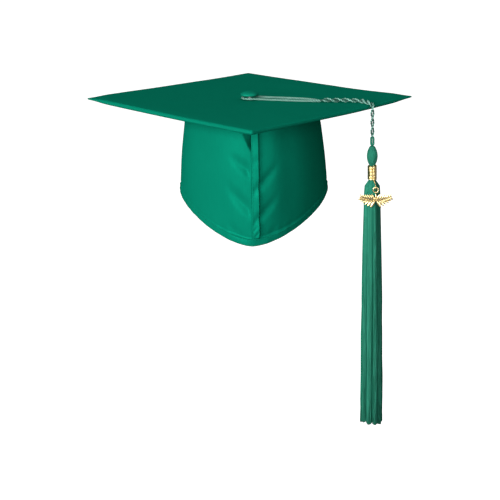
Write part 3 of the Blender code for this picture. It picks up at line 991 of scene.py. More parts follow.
@dataclass
class TasselCord(SubAssembly):
    """The cord that loops round the button, twists with itself and hangs over the edge."""

    leg_diameter: float = 0.0022
    pair_diameter: float = 0.0043
    loop_length: float = 0.179
    pair_length: float = 0.095
    leg_rise: float = 0.0014
    pair_rise: float = 0.0024
    bend_radius: float = 0.004
    crossing: float = math.radians(-60)
    strand_radius: float = 0.00058
    strand_offset: float = 0.00054
    strand_pitch: float = 0.0058
    pair_offset: float = 0.00124
    pair_pitch: float = 0.0190
    step: float = 0.0006

    def build(self) -> None:
        """Makes the loop, the twisted pair and the eye below them."""
        self.lay_loop()
        self.lay_pair()
        self.make_eye()

    def lay_loop(self) -> None:
        """Lays the two legs and the bend behind the button as one two-strand cord."""
        z = BOARD_TOP + self.leg_rise
        route = curve_through([Vector((x, y, z)) for x, y in LOOP_ROUTE], self.step)
        bm = new_bmesh()
        for strand in range(2):
            line = wound(route, self.strand_offset, self.strand_pitch, strand / 2)
            sweep(bm, line, self.strand_radius, 8)
        shade_gaps(bm, route, 0.00074, 0.00110)
        piece = self.keep(
            "cord_loop_strands", bm, CORD_RAYON, Slot.CORD, ["cord_loop"], Body.CORD
        )

    def bend_point(self, turn: float) -> Vector:
        """Returns the point of the bend over the board's edge, turn radians from its start."""
        way = Vector((math.cos(self.crossing), math.sin(self.crossing), 0))
        foot = Vector((TASSEL_X, TASSEL_Y, BOARD_TOP + self.pair_rise - self.bend_radius))
        return around(foot - way * self.bend_radius, UP, way, self.bend_radius, turn)

    def lay_pair(self) -> None:
        """Twists the two legs together, over the edge and down to the tassel's eye."""
        z = BOARD_TOP + self.pair_rise
        flat = [Vector((x, y, z)) for x, y in PAIR_ROUTE]
        bend = [self.bend_point(math.pi / 2 * i / 8) for i in range(9)]
        fall = [Vector((TASSEL_X, TASSEL_Y, EYE_TOP + above)) for above in (0.018, 0.009, 0.0)]
        level = curve_through([*flat, bend[0]], self.step)
        route = divided([*level, *bend[1:], *fall], self.step)
        legs = [Vector((*LOOP_ROUTE[i], BOARD_TOP + self.leg_rise)) for i in (0, -1)]
        bm = new_bmesh()
        for i, end in enumerate(legs):
            middle = wound(route, self.pair_offset, self.pair_pitch, i / 2 + 0.25)
            middle = [
                end.lerp(point, ease(0.0, 8 * self.step, n * self.step + self.step))
                for n, point in enumerate(middle)
            ]
            for strand in range(2):
                line = wound(middle, self.strand_offset, self.strand_pitch, strand / 2)
                sweep(bm, line, self.strand_radius, 8)
        shade_gaps(bm, route, 0.00140, 0.00225)
        piece = self.keep(
            "cord_twisted_pair", bm, CORD_RAYON, Slot.CORD, ["cord_twist", "cord_drop"]
        )
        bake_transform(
            piece, Body.CORD.value, Body.HANGING.value,
            start=tuple(self.bend_point(0.35)), end=tuple(self.bend_point(1.22)),
        )

    def make_eye(self) -> None:
        """Makes the small open loop that the tassel hangs by."""
        half, reach = 0.0012, 0.0024
        upper, lower = EYE_TOP - reach + 0.0006, EYE_BOTTOM + reach - 0.0010
        line = []
        for z, start in ((upper, 0.0), (lower, math.pi)):
            for i in range(9):
                turn = start + math.pi * i / 8
                line.append(Vector((
                    TASSEL_X + half * math.cos(turn), TASSEL_Y, z + half * math.sin(turn)
                )))
        line.append(line[0].copy())
        route = divided(line, self.step)
        bm = new_bmesh()
        for strand in range(3):
            sweep(bm, wound(route, 0.00064, length_of(route) / 5, strand / 3), 0.00062, 8)
        shade_gaps(bm, route, 0.00080, 0.00124)
        self.keep("tassel_eye_strands", bm, TASSEL_RAYON, Slot.CORD, ["cord_eye"], Body.EYE)


# Board


@dataclass
class Board(SubAssembly):
    """The stiff square board in its two cloth covers."""

    side: float = 0.2413
    skin: float = 0.0008
    card_inset: float = 0.0024
    card_gap: float = 0.0008
    cells: int = 150
    edge_cells: int = 8

    def build(self) -> None:
        """Makes the card, its two covers and the seam round their edge."""
        self.cut_card()
        top = self.cover("board_cloth_top", "board_cover_top", 1)
        under = self.cover("board_cloth_underside", "board_cover_underside", -1)
        self.sew_edge()

    def cut_card(self) -> None:
        """Cuts the stiff square of greyboard, bent up a little at its side corners."""
        bm = new_bmesh()
        bmesh.ops.create_cube(bm, size=1.0, calc_uvs=True)
        bmesh.ops.subdivide_edges(bm, edges=bm.edges, cuts=40, use_grid_fill=True)
        wide = self.side - 2 * self.skin - self.card_inset
        thick = BOARD_THICKNESS - 2 * self.skin - self.card_gap
        for vert in bm.verts:
            across, along = on_corner(vert.co.x * wide, vert.co.y * wide)
            z = vert.co.z * thick * corner_share(across)
            vert.co = (across, along, z + BOARD_MIDDLE + board_lift(across))
        self.keep("board_greyboard", bm, CARD, Slot.CARD, ["board_core"], Body.CAP)

    def puff(self, p: float, q: float) -> float:
        """Returns how far the cloth stands off the board: it lies unevenly on its glue."""
        where = Vector((p, q, 0))
        swell = noise.noise(where * 14) * 0.00028 + noise.noise(where * 42) * 0.00007
        reach = math.hypot(p, q)
        dimple = 0.00055 * math.exp(-((reach / 0.015) ** 2))
        ring = math.exp(-(((reach - 0.016) / 0.012) ** 2))
        pull = 0.00010 * math.cos(9 * math.atan2(q, p)) * ring
        return swell - dimple + pull - 0.00022

    def cover(self, name: str, node: str, up: int) -> bpy.types.Object:
        """Makes one cover, from the middle of the board's edge to its face.

        Args:
            name: The piece's name.
            node: The CAD node that it replaces.
            up: 1 for the upper cover and -1 for the lower one.

        Returns:
            The cover.
        """
        radius = BOARD_THICKNESS / 2
        flat = self.side / 2 - radius
        wrap = radius * math.pi / 2
        total = self.cells + 2 * self.edge_cells

        def run(share: float) -> float:
            """Returns the distance from the board's middle for a share of the grid."""
            cell = share * total - total / 2
            inner = self.cells / 2
            if abs(cell) <= inner:
                return flat * cell / inner
            return math.copysign(flat + wrap * (abs(cell) - inner) / self.edge_cells, cell)

        def place(u: float, v: float) -> Vector:
            """Returns the cover's point at u and v."""
            p, q = run(u), run(v)
            past = [max(abs(p) - flat, 0.0), max(abs(q) - flat, 0.0)]
            far = max(past)
            turn = far / radius
            out = Vector((0, 0))
            if far > 0:
                if past[0] >= past[1]:
                    angle = math.pi / 4 * past[1] / past[0]
                else:
                    angle = math.pi / 2 - math.pi / 4 * past[0] / past[1]
                out = Vector((
                    math.copysign(math.cos(angle), p) if past[0] > 0 else 0.0,
                    math.copysign(math.sin(angle), q) if past[1] > 0 else 0.0,
                ))
            swell = self.puff(p, q) if up > 0 else 0.4 * self.puff(q, p)
            swell *= math.cos(turn) if turn < math.pi / 2 else 0.0
            ripple = 0.00012 * noise.noise(Vector((p * 55, q * 55, up))) * math.sin(turn)
            valley = 0.00014 * ease(0.88 * wrap, wrap, far)
            reach = (radius + ripple - valley) * math.sin(turn)
            x = max(-flat, min(flat, p)) + out.x * reach
            y = max(-flat, min(flat, q)) + out.y * reach
            slope = 0.0002 * ease(flat - 0.011, flat + 0.001, max(abs(p), abs(q))) * math.cos(turn)
            across, along = on_corner(x, y)
            z = up * (radius * math.cos(turn) + swell - slope) * corner_share(across)
            tip = 1 + 0.0011 / 0.17 * ease(0.160, 0.170, abs(across))
            return Vector((across * tip, along, BOARD_MIDDLE + z + board_lift(across)))

        bm = new_bmesh()
        lay_grid(bm, total, total, place, (self.side, self.side))
        if up < 0:
            bmesh.ops.reverse_faces(bm, faces=bm.faces)
        return self.keep(name, bm, GREEN_SATIN, Slot.SATIN, [node], Body.CAP, closed=False)

    def sew_edge(self) -> None:
        """Lays the fine sewing line where the two covers meet."""
        reach = self.side / 2 - 0.00026
        round_at = 0.0024
        inner = reach - round_at
        corners = []
        for quarter in range(4):
            facing = math.pi / 2 * quarter + 0.7
            for i in range(7):
                turn = math.pi / 2 * (quarter + i / 6)
                x = math.copysign(inner, math.cos(facing)) + round_at * math.cos(turn)
                y = math.copysign(inner, math.sin(facing)) + round_at * math.sin(turn)
                corners.append(Vector((*on_corner(x, y), 0)))
        corners.append(corners[0].copy())
        line = divided(corners, 0.003)
        for point in line:
            point.z = BOARD_MIDDLE + board_lift(point.x)
        bm = new_bmesh()
        sweep(bm, line, 0.00020, 6)
        self.keep("board_edge_thread", bm, SEWING_THREAD, Slot.SATIN, (), Body.CAP)


# Crown


@dataclass(frozen=True)
class CrownForm:
    """The crown's outer surface, a rounded diamond in plan that widens downwards."""

    top: float = 0.0933
    top_half: tuple[float, float] = (0.068, 0.088)
    flare: tuple[float, float] = (0.011, 0.0093)
    top_roundness: float = 1.85
    hem_roundness: float = 1.6
    front_drop: float = 0.036
    back_rise: float = 0.004
    dip: float = 1.4

    def section(self, z: float) -> tuple[float, float, float]:
        """Returns the half width, half length and roundness at a height."""
        wide = math.sin(math.pi / 2 * (self.top - z) / (self.top + self.front_drop))
        return (
            self.top_half[0] + self.flare[0] * wide,
            self.top_half[1] + self.flare[1] * wide,
            lerp(self.top_roundness, self.hem_roundness, wide),
        )

    def point(self, angle: float, z: float) -> Vector:
        """Returns the surface's point at an angle and a height."""
        across, along, roundness = self.section(z)
        cos, sin = math.cos(angle), math.sin(angle)
        return Vector((
            across * math.copysign(abs(cos) ** (2 / roundness), cos),
            along * math.copysign(abs(sin) ** (2 / roundness), sin),
            z,
        ))

    def outward(self, angle: float, z: float) -> Vector:
        """Returns the level direction square to the surface."""
        step = 0.02
        along = self.point(angle + step, z) - self.point(angle - step, z)
        return Vector((along.y, -along.x, 0)).normalized()

    def hem(self, angle: float) -> float:
        """Returns the height of the lower edge."""
        y = math.sin(angle)
        share = abs(y) ** (2 / self.hem_roundness * self.dip)
        tip = 0.0022 * math.exp(-((y / 0.22) ** 2))
        return tip + (self.back_rise * share if y > 0 else -self.front_drop * share)

    def angle_at_y(self, y: float, z: float) -> float:
        """Returns the angle on the right half where the surface reaches y."""
        _, along, roundness = self.section(z)
        return math.copysign(math.asin(min(1.0, abs(y) / along) ** (roundness / 2)), y)

    def angle_at_x(self, x: float, z: float) -> float:
        """Returns the angle on the right half, in front, where the surface reaches x."""
        across, _, roundness = self.section(z)
        return -math.acos(min(1.0, max(0.0, x) / across) ** (roundness / 2))


@dataclass(frozen=True)
class Folds:
    """How the cloth of one half of the crown falls: the creases beside the seam slope up."""

    phase: float
    slope: float
    start: float
    pitch: float
    depth: float
    fullness: float
    taper: float


FOLDS = {
    Side.LEFT: Folds(0.4, 0.85, 0.0403, 0.0405, 0.0026, -0.0014, 0.0012),
    Side.RIGHT: Folds(2.1, 0.90, 0.0193, 0.0320, 0.0018, 0.0044, 0.0004),
}


@dataclass(frozen=True)
class Layer:
    """One layer of the crown's wall on one or both halves."""

    name: str
    finish: Finish
    slot: Slot
    node: str
    proud: float
    thickness: float
    foot: Height
    crest: Height
    start: float
    end: float
    columns: int
    rows: int
    roll: float = 0.0


@dataclass
class Crown(SubAssembly):
    """The soft crown: its cloth, linings, hem, seam, headband and elastic back."""

    form: CrownForm = CrownForm()
    fell_width: float = 0.0082
    stretch_start: tuple[float, float, float] = (0.0, 0.0075, -0.0066)
    stretch_end: tuple[float, float, float] = (0.0, 0.051, -0.045)
    notch_width: float = 0.0083
    notch_height: float = 0.033
    notch_depth: float = 0.0056
    stitch: float = 0.0021
    stitch_gap: float = 0.0009
    stitch_radius: float = 0.00021
    stitch_bow: float = 0.0001
    join: float = 0.00005
    arc: list[float] = field(default_factory=list, init=False)

    def build(self) -> None:
        """Makes every layer of the crown and its stitching."""
        self.measure_arc()
        slot_angle = self.form.angle_at_y(SLOT_START, 0.004)
        low, high = -math.pi / 2, math.pi / 2
        hem = self.form.hem
        for side in Side:
            name = side.name.lower()
            cloth = self.lay(Layer(
                f"crown_cloth_{name}", GREEN_SATIN, Slot.SATIN, f"crown_panel_{name}",
                0.0, 0.0009, lambda a: hem(a) + 0.003, lambda a: self.form.top,
                low, high, 190, 84,
            ), side)
            lining = self.lay(Layer(
                f"crown_lining_cloth_{name}", GREEN_LINING, Slot.LINING,
                f"crown_lining_{name}", -0.0013, 0.0004, lambda a: hem(a) + 0.0081,
                lambda a: self.form.top - 0.0016, low, high, 120, 40,
            ), side)
            self.lay(Layer(
                f"hem_cloth_{name}", GREEN_SATIN, Slot.SATIN, f"hem_{name}",
                0.0003, 0.0026, hem, lambda a: hem(a) + HEM_HEIGHT, low, slot_angle,
                150, 14, 0.0007,
            ), side)
        self.lay(Layer(
            "headband_twill_tape", TWILL_TAPE, Slot.TAPE, "headband", -0.0024, 0.0008,
            lambda a: hem(a) + 0.0012, lambda a: hem(a) + 0.026, low, slot_angle, 110, 8,
        ), *Side)
        self.lay(Layer(
            "elastic_casing_cloth", GREEN_SATIN, Slot.SATIN, "elastic_casing", 0.0007, 0.0036,
            hem, lambda a: CASING_TOP, slot_angle, high, 150, 22, 0.0010,
        ), *Side)
        self.lay(Layer(
            "elastic_tape", WHITE_ELASTIC, Slot.ELASTIC, "elastic_band", -0.0010, 0.0010,
            lambda a: 0.0076, lambda a: 0.0200, slot_angle + 0.01, high, 120, 6,
        ), *Side)
        self.sew_fell()
        self.sew_label()
        self.sew_hems(slot_angle)

    def measure_arc(self) -> None:
        """Measures the way round the crown from the front seam, for evenly spaced folds."""
        steps = 240
        points = [
            self.form.point(-math.pi / 2 + math.pi * i / steps, 0.01) for i in range(steps + 1)
        ]
        self.arc = [0.0]
        for a, b in zip(points, points[1:]):
            self.arc.append(self.arc[-1] + (b - a).length)

    def way_round(self, angle: float) -> float:
        """Returns the distance from the front seam, in metres, at an angle."""
        place = (angle + math.pi / 2) / math.pi * (len(self.arc) - 1)
        i = max(0, min(len(self.arc) - 2, int(place)))
        return lerp(self.arc[i], self.arc[i + 1], place - i)

    def notch(self, s: float, drop: float) -> float:
        """Returns the dent under the board, s from the seam, where the cloth is drawn in."""
        width = self.notch_width * (self.notch_height - drop) / 0.0205
        if width < 0.0002 or s >= width:
            return 0.0
        return -self.notch_depth * (1 - s / width) ** 0.7 * ease(0.0, 0.0036, width)

    def drape(self, side: Side, angle: float, z: float) -> float:
        """Works out how far the cloth stands off the crown's even form.

        Args:
            side: The half of the crown.
            angle: The angle on the right half, from the front seam to the back.
            z: The height.

        Returns:
            The distance outwards, in metres.
        """
        form, folds = self.form, FOLDS[side]
        base = form.hem(angle)
        share = (z - base) / (form.top - base)
        s = self.way_round(angle)
        y = form.point(angle, z).y
        body = ease(0.0, 0.16, 1 - share) * ease(0.0, 0.30, share)
        body *= 1 - 0.6 * math.cos(angle) ** 2
        phase = folds.phase
        wave = (
            0.0007 * math.sin(TAU * s / 0.083 + phase)
            + 0.0004 * math.sin(TAU * s / 0.047 + 2.3 * phase + 14 * z)
        ) * body * ease(0.012, 0.05, s)
        crinkle = 0.00035 * noise.noise(Vector((s * 34, z * 26, phase))) * body
        fold = math.cos(TAU * (z - folds.slope * s - folds.start) / folds.pitch)
        zone = (1 - ease(0.010, 0.032, s)) * ease(-0.001, 0.005, s)
        tall = ease(0.25, 0.40, 1 - share) * ease(0.02, 0.12, share)
        chevron = -folds.depth * (0.5 + 0.5 * fold) ** 3 * zone * tall
        pucker = noise.noise(Vector((s * 150, z * 45, 3 + phase))) * 0.00042
        pucker *= 1 - ease(HEM_HEIGHT, HEM_HEIGHT + 0.013, z - base)
        tuck = -0.0004 * math.exp(-(((z - base - HEM_HEIGHT - 0.0008) / 0.0012) ** 2))
        notch = self.notch(s, form.top - z) if side is Side.LEFT else 0.0
        bulge = folds.fullness * math.cos(angle) * ease(-0.05, 0.25, 1 - share)
        bulge -= folds.taper * math.cos(angle) * ease(0.5, 1.0, 1 - share)
        step = 0.0010 * math.sin(angle) ** 2
        step *= 1 - ease(HEM_HEIGHT - 0.0010, HEM_HEIGHT + 0.0004, z - base)
        behind = ease(0.030, 0.062, y)
        above = max(0.0, z - CASING_TOP)
        ripple = math.sin(TAU * s / 0.0086 + 1.6 * math.sin(TAU * s / 0.043 + phase))
        fade = math.exp(-above / (0.017 + 0.007 * math.sin(TAU * s / 0.031 + phase)))
        gather = behind * (0.0013 if above > 0 else 0.0009) * ripple * fade
        seam = (tuck + step) * (1 - behind)
        return wave + crinkle + chevron + pucker + notch + gather + bulge + seam

    def wall_point(self, side: Side, angle: float, z: float, proud: float) -> Vector:
        """Returns the point of a layer that stands proud of the draped cloth."""
        point = self.form.point(angle, z)
        point += self.form.outward(angle, z) * (self.drape(side, angle, z) + proud)
        point.x *= side.value
        point.z += board_lift(point.x) * ease(0.0, self.form.top, z)
        return point

    def fill(self, bm: BMesh, side: Side, layer: Layer) -> None:
        """Adds one half of a layer to a mesh in the making."""
        tall = layer.crest(layer.start) - layer.foot(layer.start)

        def place(u: float, v: float) -> Vector:
            """Returns the layer's point at u round and v up."""
            angle = lerp(layer.start, layer.end, u)
            foot, crest = layer.foot(angle), layer.crest(angle)
            z = lerp(foot, crest, v)
            proud = layer.proud
            if layer.roll:
                near = min(z - foot, crest - z)
                inner = max(0.0, 1 - near / layer.roll)
                proud -= layer.roll * (1 - math.sqrt(max(0.0, 1 - inner * inner)))
            return self.wall_point(side, angle, z, proud)

        width = self.way_round(layer.end) - self.way_round(layer.start)
        made = lay_grid(bm, layer.columns, layer.rows, place, (width, tall))
        if side is Side.LEFT:
            faces = list({face for vert in made for face in vert.link_faces})
            bmesh.ops.reverse_faces(bm, faces=faces)

    def keep_sheet(
        self, name: str, bm: BMesh, finish: Finish, slot: Slot, node: str, thickness: float
    ) -> bpy.types.Object:
        """Keeps a sheet, gives it its thickness and lets it stretch with the elastic."""
        piece = self.keep(name, bm, finish, slot, (node,), closed=False)
        wall = piece.modifiers.new("thickness", "SOLIDIFY")
        wall.thickness = thickness
        wall.offset = -1.0
        self.stretch(piece)
        return piece

    def stretch(self, piece: bpy.types.Object) -> None:
        """Lets the lower back of a piece move with the elastic."""
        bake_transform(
            piece, Body.CAP.value, Body.BACK.value, start=self.stretch_start,
            end=self.stretch_end,
        )

    def lay(self, layer: Layer, *sides: Side) -> bpy.types.Object:
        """Makes a layer of one half, or of both halves joined where they meet."""
        bm = new_bmesh()
        for side in sides:
            self.fill(bm, side, layer)
        if len(sides) > 1:
            bmesh.ops.remove_doubles(bm, verts=bm.verts, dist=self.join)
        return self.keep_sheet(
            layer.name, bm, layer.finish, layer.slot, layer.node, layer.thickness
        )

    def fell_height(self, u: float) -> float:
        """Returns how far the front seam stands out, from its left side at 0 to its right at 1."""
        rise = 0.0005 * ease(0.0, 0.05, u) + 0.0025 * min(1.0, u / 0.80)
        return rise * (1 - ease(0.80, 1.0, u))

    def sew_fell(self) -> None:
        """Makes the felled seam down the front, folded to the right and stitched flat."""
        form = self.form

        def place(u: float, v: float) -> Vector:
            """Returns the seam's point at u across and v up."""
            x = self.fell_width * u
            foot = form.hem(form.angle_at_x(x, 0.0)) + HEM_HEIGHT + 0.0006
            z = lerp(foot, form.top, v)
            edge = min(u, 1 - u) * 2
            low = 1 - ease(0.004, 0.020, z - foot)
            proud = self.fell_height(u)
            proud += 0.00050 * low * math.sin(TAU * (z - foot - x * 1.2) / 0.0078) * edge
            proud += 0.00022 * math.sin(TAU * z / 0.033 + 5 * u) * edge
            return self.wall_point(Side.RIGHT, form.angle_at_x(x, z), z, proud)

        bm = new_bmesh()
        lay_grid(bm, 18, 120, place, (self.fell_width, 0.122))
        self.keep_sheet(
            "front_seam_fell", bm, GREEN_SATIN, Slot.SATIN, "front_seam_band", 0.0005
        )

    def sew_label(self) -> None:
        """Sews the blank label inside the back."""

        def place(u: float, v: float) -> Vector:
            """Returns the label's point at u across and v up."""
            x, z = lerp(0.0300, 0.0042, u), lerp(0.0342, 0.0578, v)
            angle = -self.form.angle_at_x(x, z)
            curl = 0.0006 * math.sin(math.pi * u) * (1 - v)
            return self.wall_point(Side.RIGHT, angle, z, -0.0024 - curl)

        bm = new_bmesh()
        lay_grid(bm, 20, 16, place, (0.026, 0.024))
        piece = self.keep_sheet(
            "care_label_ribbon", bm, LABEL_CLOTH, Slot.LABEL, "care_label", 0.0003
        )

    def sew_line(self, bm: BMesh, rod: bpy.types.Mesh, line: Sequence[Vector]) -> None:
        """Lays a row of stitches along a line.

        Args:
            bm: The mesh in the making.
            rod: The template of a stitch.
            line: Points along the row.
        """
        spots = divided(line, 0.0005)
        axes = frames(spots)
        pace = (length_of(spots) or 1.0) / (len(spots) - 1)
        span = max(1, round(self.stitch / pace))
        gap = max(1, round(self.stitch_gap / pace))
        for start in range(0, len(spots) - span, span + gap):
            a, b = spots[start], spots[start + span]
            _, side, up = axes[start]

            def put(co: Vector) -> Vector:
                """Returns where a point of the template goes."""
                bow = self.stitch_bow * math.sin(math.pi * co.z)
                out = Vector((a.x, a.y, 0)).normalized()
                return a.lerp(b, co.z) + (side * co.x + up * co.y) * self.stitch_radius + out * bow

            stamp(bm, rod, put)

    def sew_hems(self, slot_angle: float) -> None:
        """Stitches the hem, the elastic's casing and both sides of the front seam."""
        form, rod = self.form, rod_template(6, 4)
        low, high = -math.pi / 2, math.pi / 2
        rows = (
            ("hem_stitches", low, slot_angle, 0.0004,
             lambda a: form.hem(a) + HEM_HEIGHT - 0.0013),
            ("casing_stitches", slot_angle, high, 0.0008, lambda a: CASING_TOP - 0.0014),
        )
        for name, start, end, proud, upper in rows:
            bm = new_bmesh()
            angles = [lerp(start, end, i / 160) for i in range(161)]
            for height in (upper, lambda a: form.hem(a) + 0.0016):
                for side in Side:
                    line = [self.wall_point(side, a, height(a), proud) for a in angles]
                    self.sew_line(bm, rod, line)
            self.stretch(self.keep(name, bm, SEWING_THREAD, Slot.SATIN))
        bm = new_bmesh()
        for x in (0.0012, self.fell_width * 0.78):
            line = []
            for i in range(121):
                z = lerp(form.hem(form.angle_at_x(x, 0.0)) + 0.010, form.top - 0.001, i / 120)
                proud = self.fell_height(x / self.fell_width) + 0.0002
                line.append(self.wall_point(Side.RIGHT, form.angle_at_x(x, z), z, proud))
            self.sew_line(bm, rod, line)
        self.stretch(self.keep("front_seam_stitches", bm, SEWING_THREAD, Slot.SATIN))


# Button


@dataclass
class Button(SubAssembly):
    """The cloth-covered button in the middle of the board."""

    base: float = BOARD_TOP + 0.0035
    height: float = 0.0048
    pleats: int = 22

    def build(self) -> None:
        """Makes the button's cloth cover, drawn in under its rim."""
        rim = self.base + 0.0011

        def place(u: float, v: float) -> Vector:
            """Returns the cover's point at u round and v from crown to foot."""
            if v < 0.7:
                turn = math.pi / 2 * v / 0.7
                reach = BUTTON_RADIUS * math.sin(turn)
                z = rim + (self.height - 0.0011) * math.cos(turn)
            else:
                turn = math.pi / 2 * min(1.0, (v - 0.7) / 0.12)
                reach = BUTTON_RADIUS - 0.0011 * (1 - math.cos(turn))
                z = rim - 0.0011 * math.sin(turn)
                reach *= 1 - max(0.0, (v - 0.82) / 0.18)
            fold = math.cos(self.pleats * TAU * u + 1.3 * math.sin(3 * TAU * u))
            depth = ease(0.50, 0.78, v) * (1 - ease(0.82, 0.95, v))
            reach -= 0.00022 * (0.5 - 0.5 * fold) * depth
            soft = noise.noise(Vector((math.cos(TAU * u), math.sin(TAU * u), v * 3))) * 0.00012
            z += soft * math.sin(math.pi * min(1.0, v / 0.7))
            return from_axis(reach, TAU * u, z)

        bm = new_bmesh()
        lay_grid(bm, 132, 48, place, (TAU * BUTTON_RADIUS, 0.02), closed=True)
        self.keep("button_cloth", bm, LIT_BUTTON_SATIN, Slot.SATIN, ["button_cover"], Body.CAP)


# Tassel


@dataclass
class Tassel(SubAssembly):
    """The bound head of yarn, its gold wire band and the long skirt of threads."""

    threads: int = 640
    clumps: int = 10
    thread_radius: float = 0.00040
    head_tone: float = 0.55
    core_short: float = 0.008
    layers: int = 4
    rounds: float = 3.0
    clump_half: float = 0.31
    head: tuple[tuple[float, float], ...] = (
        (0.0000, 0.0004), (0.0006, 0.0022), (0.0026, 0.0036), (0.0062, 0.0050),
        (0.0098, 0.0056), (0.0135, 0.0055), (0.0174, 0.0046), (0.0198, 0.0034),
        (0.0216, 0.0027),
    )
    skirt: tuple[tuple[float, float], ...] = (
        (-0.0040, 0.0020), (0.0000, 0.0040), (0.0014, 0.0060), (0.0038, 0.0073),
        (0.0088, 0.0080), (0.0310, 0.0086), (0.0920, 0.0101), (0.1600, 0.0109),
        (0.2200, 0.0114), (0.2663, 0.0116),
    )

    def build(self) -> None:
        """Makes the head, the band, the core and the threads."""
        self.bind_head()
        self.wind_band()
        self.fill_core()
        self.hang_threads()

    def at(self, reach: float, turn: float, z: float) -> Vector:
        """Returns the point at a distance and an angle from the tassel's axis."""
        return Vector((TASSEL_X + reach * math.cos(turn), TASSEL_Y + reach * math.sin(turn), z))

    def bind_head(self) -> None:
        """Makes the head: threads laid close over a knot and drawn in at the neck."""
        top, tall = EYE_BOTTOM - 0.0003, 0.0216
        ridges, profile = 44, rounded(self.head)

        def place(u: float, v: float) -> Vector:
            """Returns the head's point at u round and v down."""
            drop = tall * v
            reach = table(profile, drop)
            turn = TAU * u + 0.25 * v
            line = math.cos(ridges * TAU * u + 2.0 * math.sin(5 * TAU * u))
            reach -= 0.00016 * (0.5 - 0.5 * line) * math.sin(math.pi * min(1, v * 1.05))
            if v < WELD or v > 1 - WELD:
                reach = 0.0
            return self.at(reach, turn, top - drop)

        bm = new_bmesh()
        lay_grid(bm, ridges * 5, 44, place, (0.035, tall), closed=True)
        tone = bm.verts.layers.float[TONE_AND_SHADE]
        for vert in bm.verts:
            vert[tone] = self.head_tone
        self.keep(
            "tassel_head_yarn", bm, TASSEL_RAYON, Slot.YARN, ["tassel_head"], Body.TASSEL
        )

    def wind_band(self) -> None:
        """Winds the gold wire round the neck."""
        turns, per_turn = 9, 28
        pitch, wire, reach = 0.0016, 0.00078, 0.00415
        line = [
            self.at(reach, TAU * i / per_turn, BAND_TOP - wire - pitch * i / per_turn)
            for i in range(turns * per_turn + 1)
        ]
        bm = new_bmesh()
        sweep(bm, line, wire, 12)
        self.keep("tassel_band_wire", bm, GOLD, Slot.GILT, ["tassel_band"], Body.TASSEL)

    def fill_core(self) -> None:
        """Makes the mass of yarn inside the skirt, dark with painted shade where it shows between the outer
        threads.
        """
        length = SKIRT_TOP - SKIRT_BOTTOM - self.core_short
        ridges, profile = 30, rounded(self.skirt)

        def place(u: float, v: float) -> Vector:
            """Returns the core's point at u round and v down."""
            drop = -0.015 + (length + 0.015) * v
            reach = 0.0021 if drop < -0.001 else table(profile, drop) * 0.80
            if drop > -0.001:
                reach -= 0.0005 * (0.5 - 0.5 * math.cos(ridges * TAU * u))
            if v < WELD or v > 1 - WELD:
                reach = 0.0
            return self.at(reach, TAU * u, SKIRT_TOP - drop)

        bm = new_bmesh()
        lay_grid(bm, 120, 90, place, (0.06, length), closed=True)
        self.keep("tassel_core_shade_yarn", bm, TASSEL_CORE_SHADE, Slot.YARN, (), Body.TASSEL)

    def hang_threads(self) -> None:
        """Hangs the skirt's threads in loose clumps with uneven ends."""
        draw = random.Random(11)
        rows, sides, blunt = 20, 3, 0.0004
        rod, profile = rod_template(sides, rows), rounded(self.skirt)
        full = SKIRT_TOP - SKIRT_BOTTOM
        lengths = [draw.uniform(-0.0040, 0.0) for _ in range(self.clumps)]
        bm = new_bmesh()
        for n in range(self.threads):
            layer = (n % self.layers) / self.layers
            turn = TAU * (n + draw.uniform(-0.3, 0.3)) / self.threads * self.rounds
            clump = round(turn % TAU / TAU * self.clumps) % self.clumps
            pull = TAU * clump / self.clumps - turn % TAU
            pull = (pull + math.pi) % TAU - math.pi
            stray = (pull / self.clump_half) ** 2
            end = full + lengths[clump] - stray * 0.0024 - draw.uniform(0, 0.0006)
            depth = 1.0 - 0.20 * layer
            drift = draw.uniform(-0.05, 0.05)
            swing = draw.uniform(0.0001, 0.00045)
            period, shift = draw.uniform(0.05, 0.12), draw.uniform(0, TAU)
            line = []
            for i in range(rows + 1):
                share = min(1.0, i / (rows - 1)) ** 1.9
                drop = lerp(-0.003, end - blunt, share) + (blunt if i == rows else 0.0)
                close = ease(0.015, 0.20, drop)
                spot = turn + pull * 0.12 * close + drift * close
                reach = table(profile, drop) * depth
                reach -= 0.0007 * close * abs(pull) * self.clumps / math.pi
                reach += swing * math.sin(TAU * drop / period + shift) * close
                line.append(self.at(max(0.0015, reach), spot, SKIRT_TOP - drop))
            axes = frames(line)
            thick = self.thread_radius * draw.uniform(0.8, 1.2)

            def put(co: Vector) -> Vector:
                """Returns where a point of the template goes."""
                i = round(co.z * rows)
                _, side, up = axes[i]
                return line[i] + (side * co.x + up * co.y) * thick

            # Random tone, darkened as painted shade on inner layers and on threads at the clump edges.
            tone = draw.uniform(0.35, 1.0) * (1 - 0.4 * layer) * (1 - 0.6 * stray)
            stamp(bm, rod, put, tone)
        self.keep(
            "tassel_skirt_threads", bm, TASSEL_RAYON, Slot.YARN, ["tassel_skirt"], Body.TASSEL
        )


# Charm


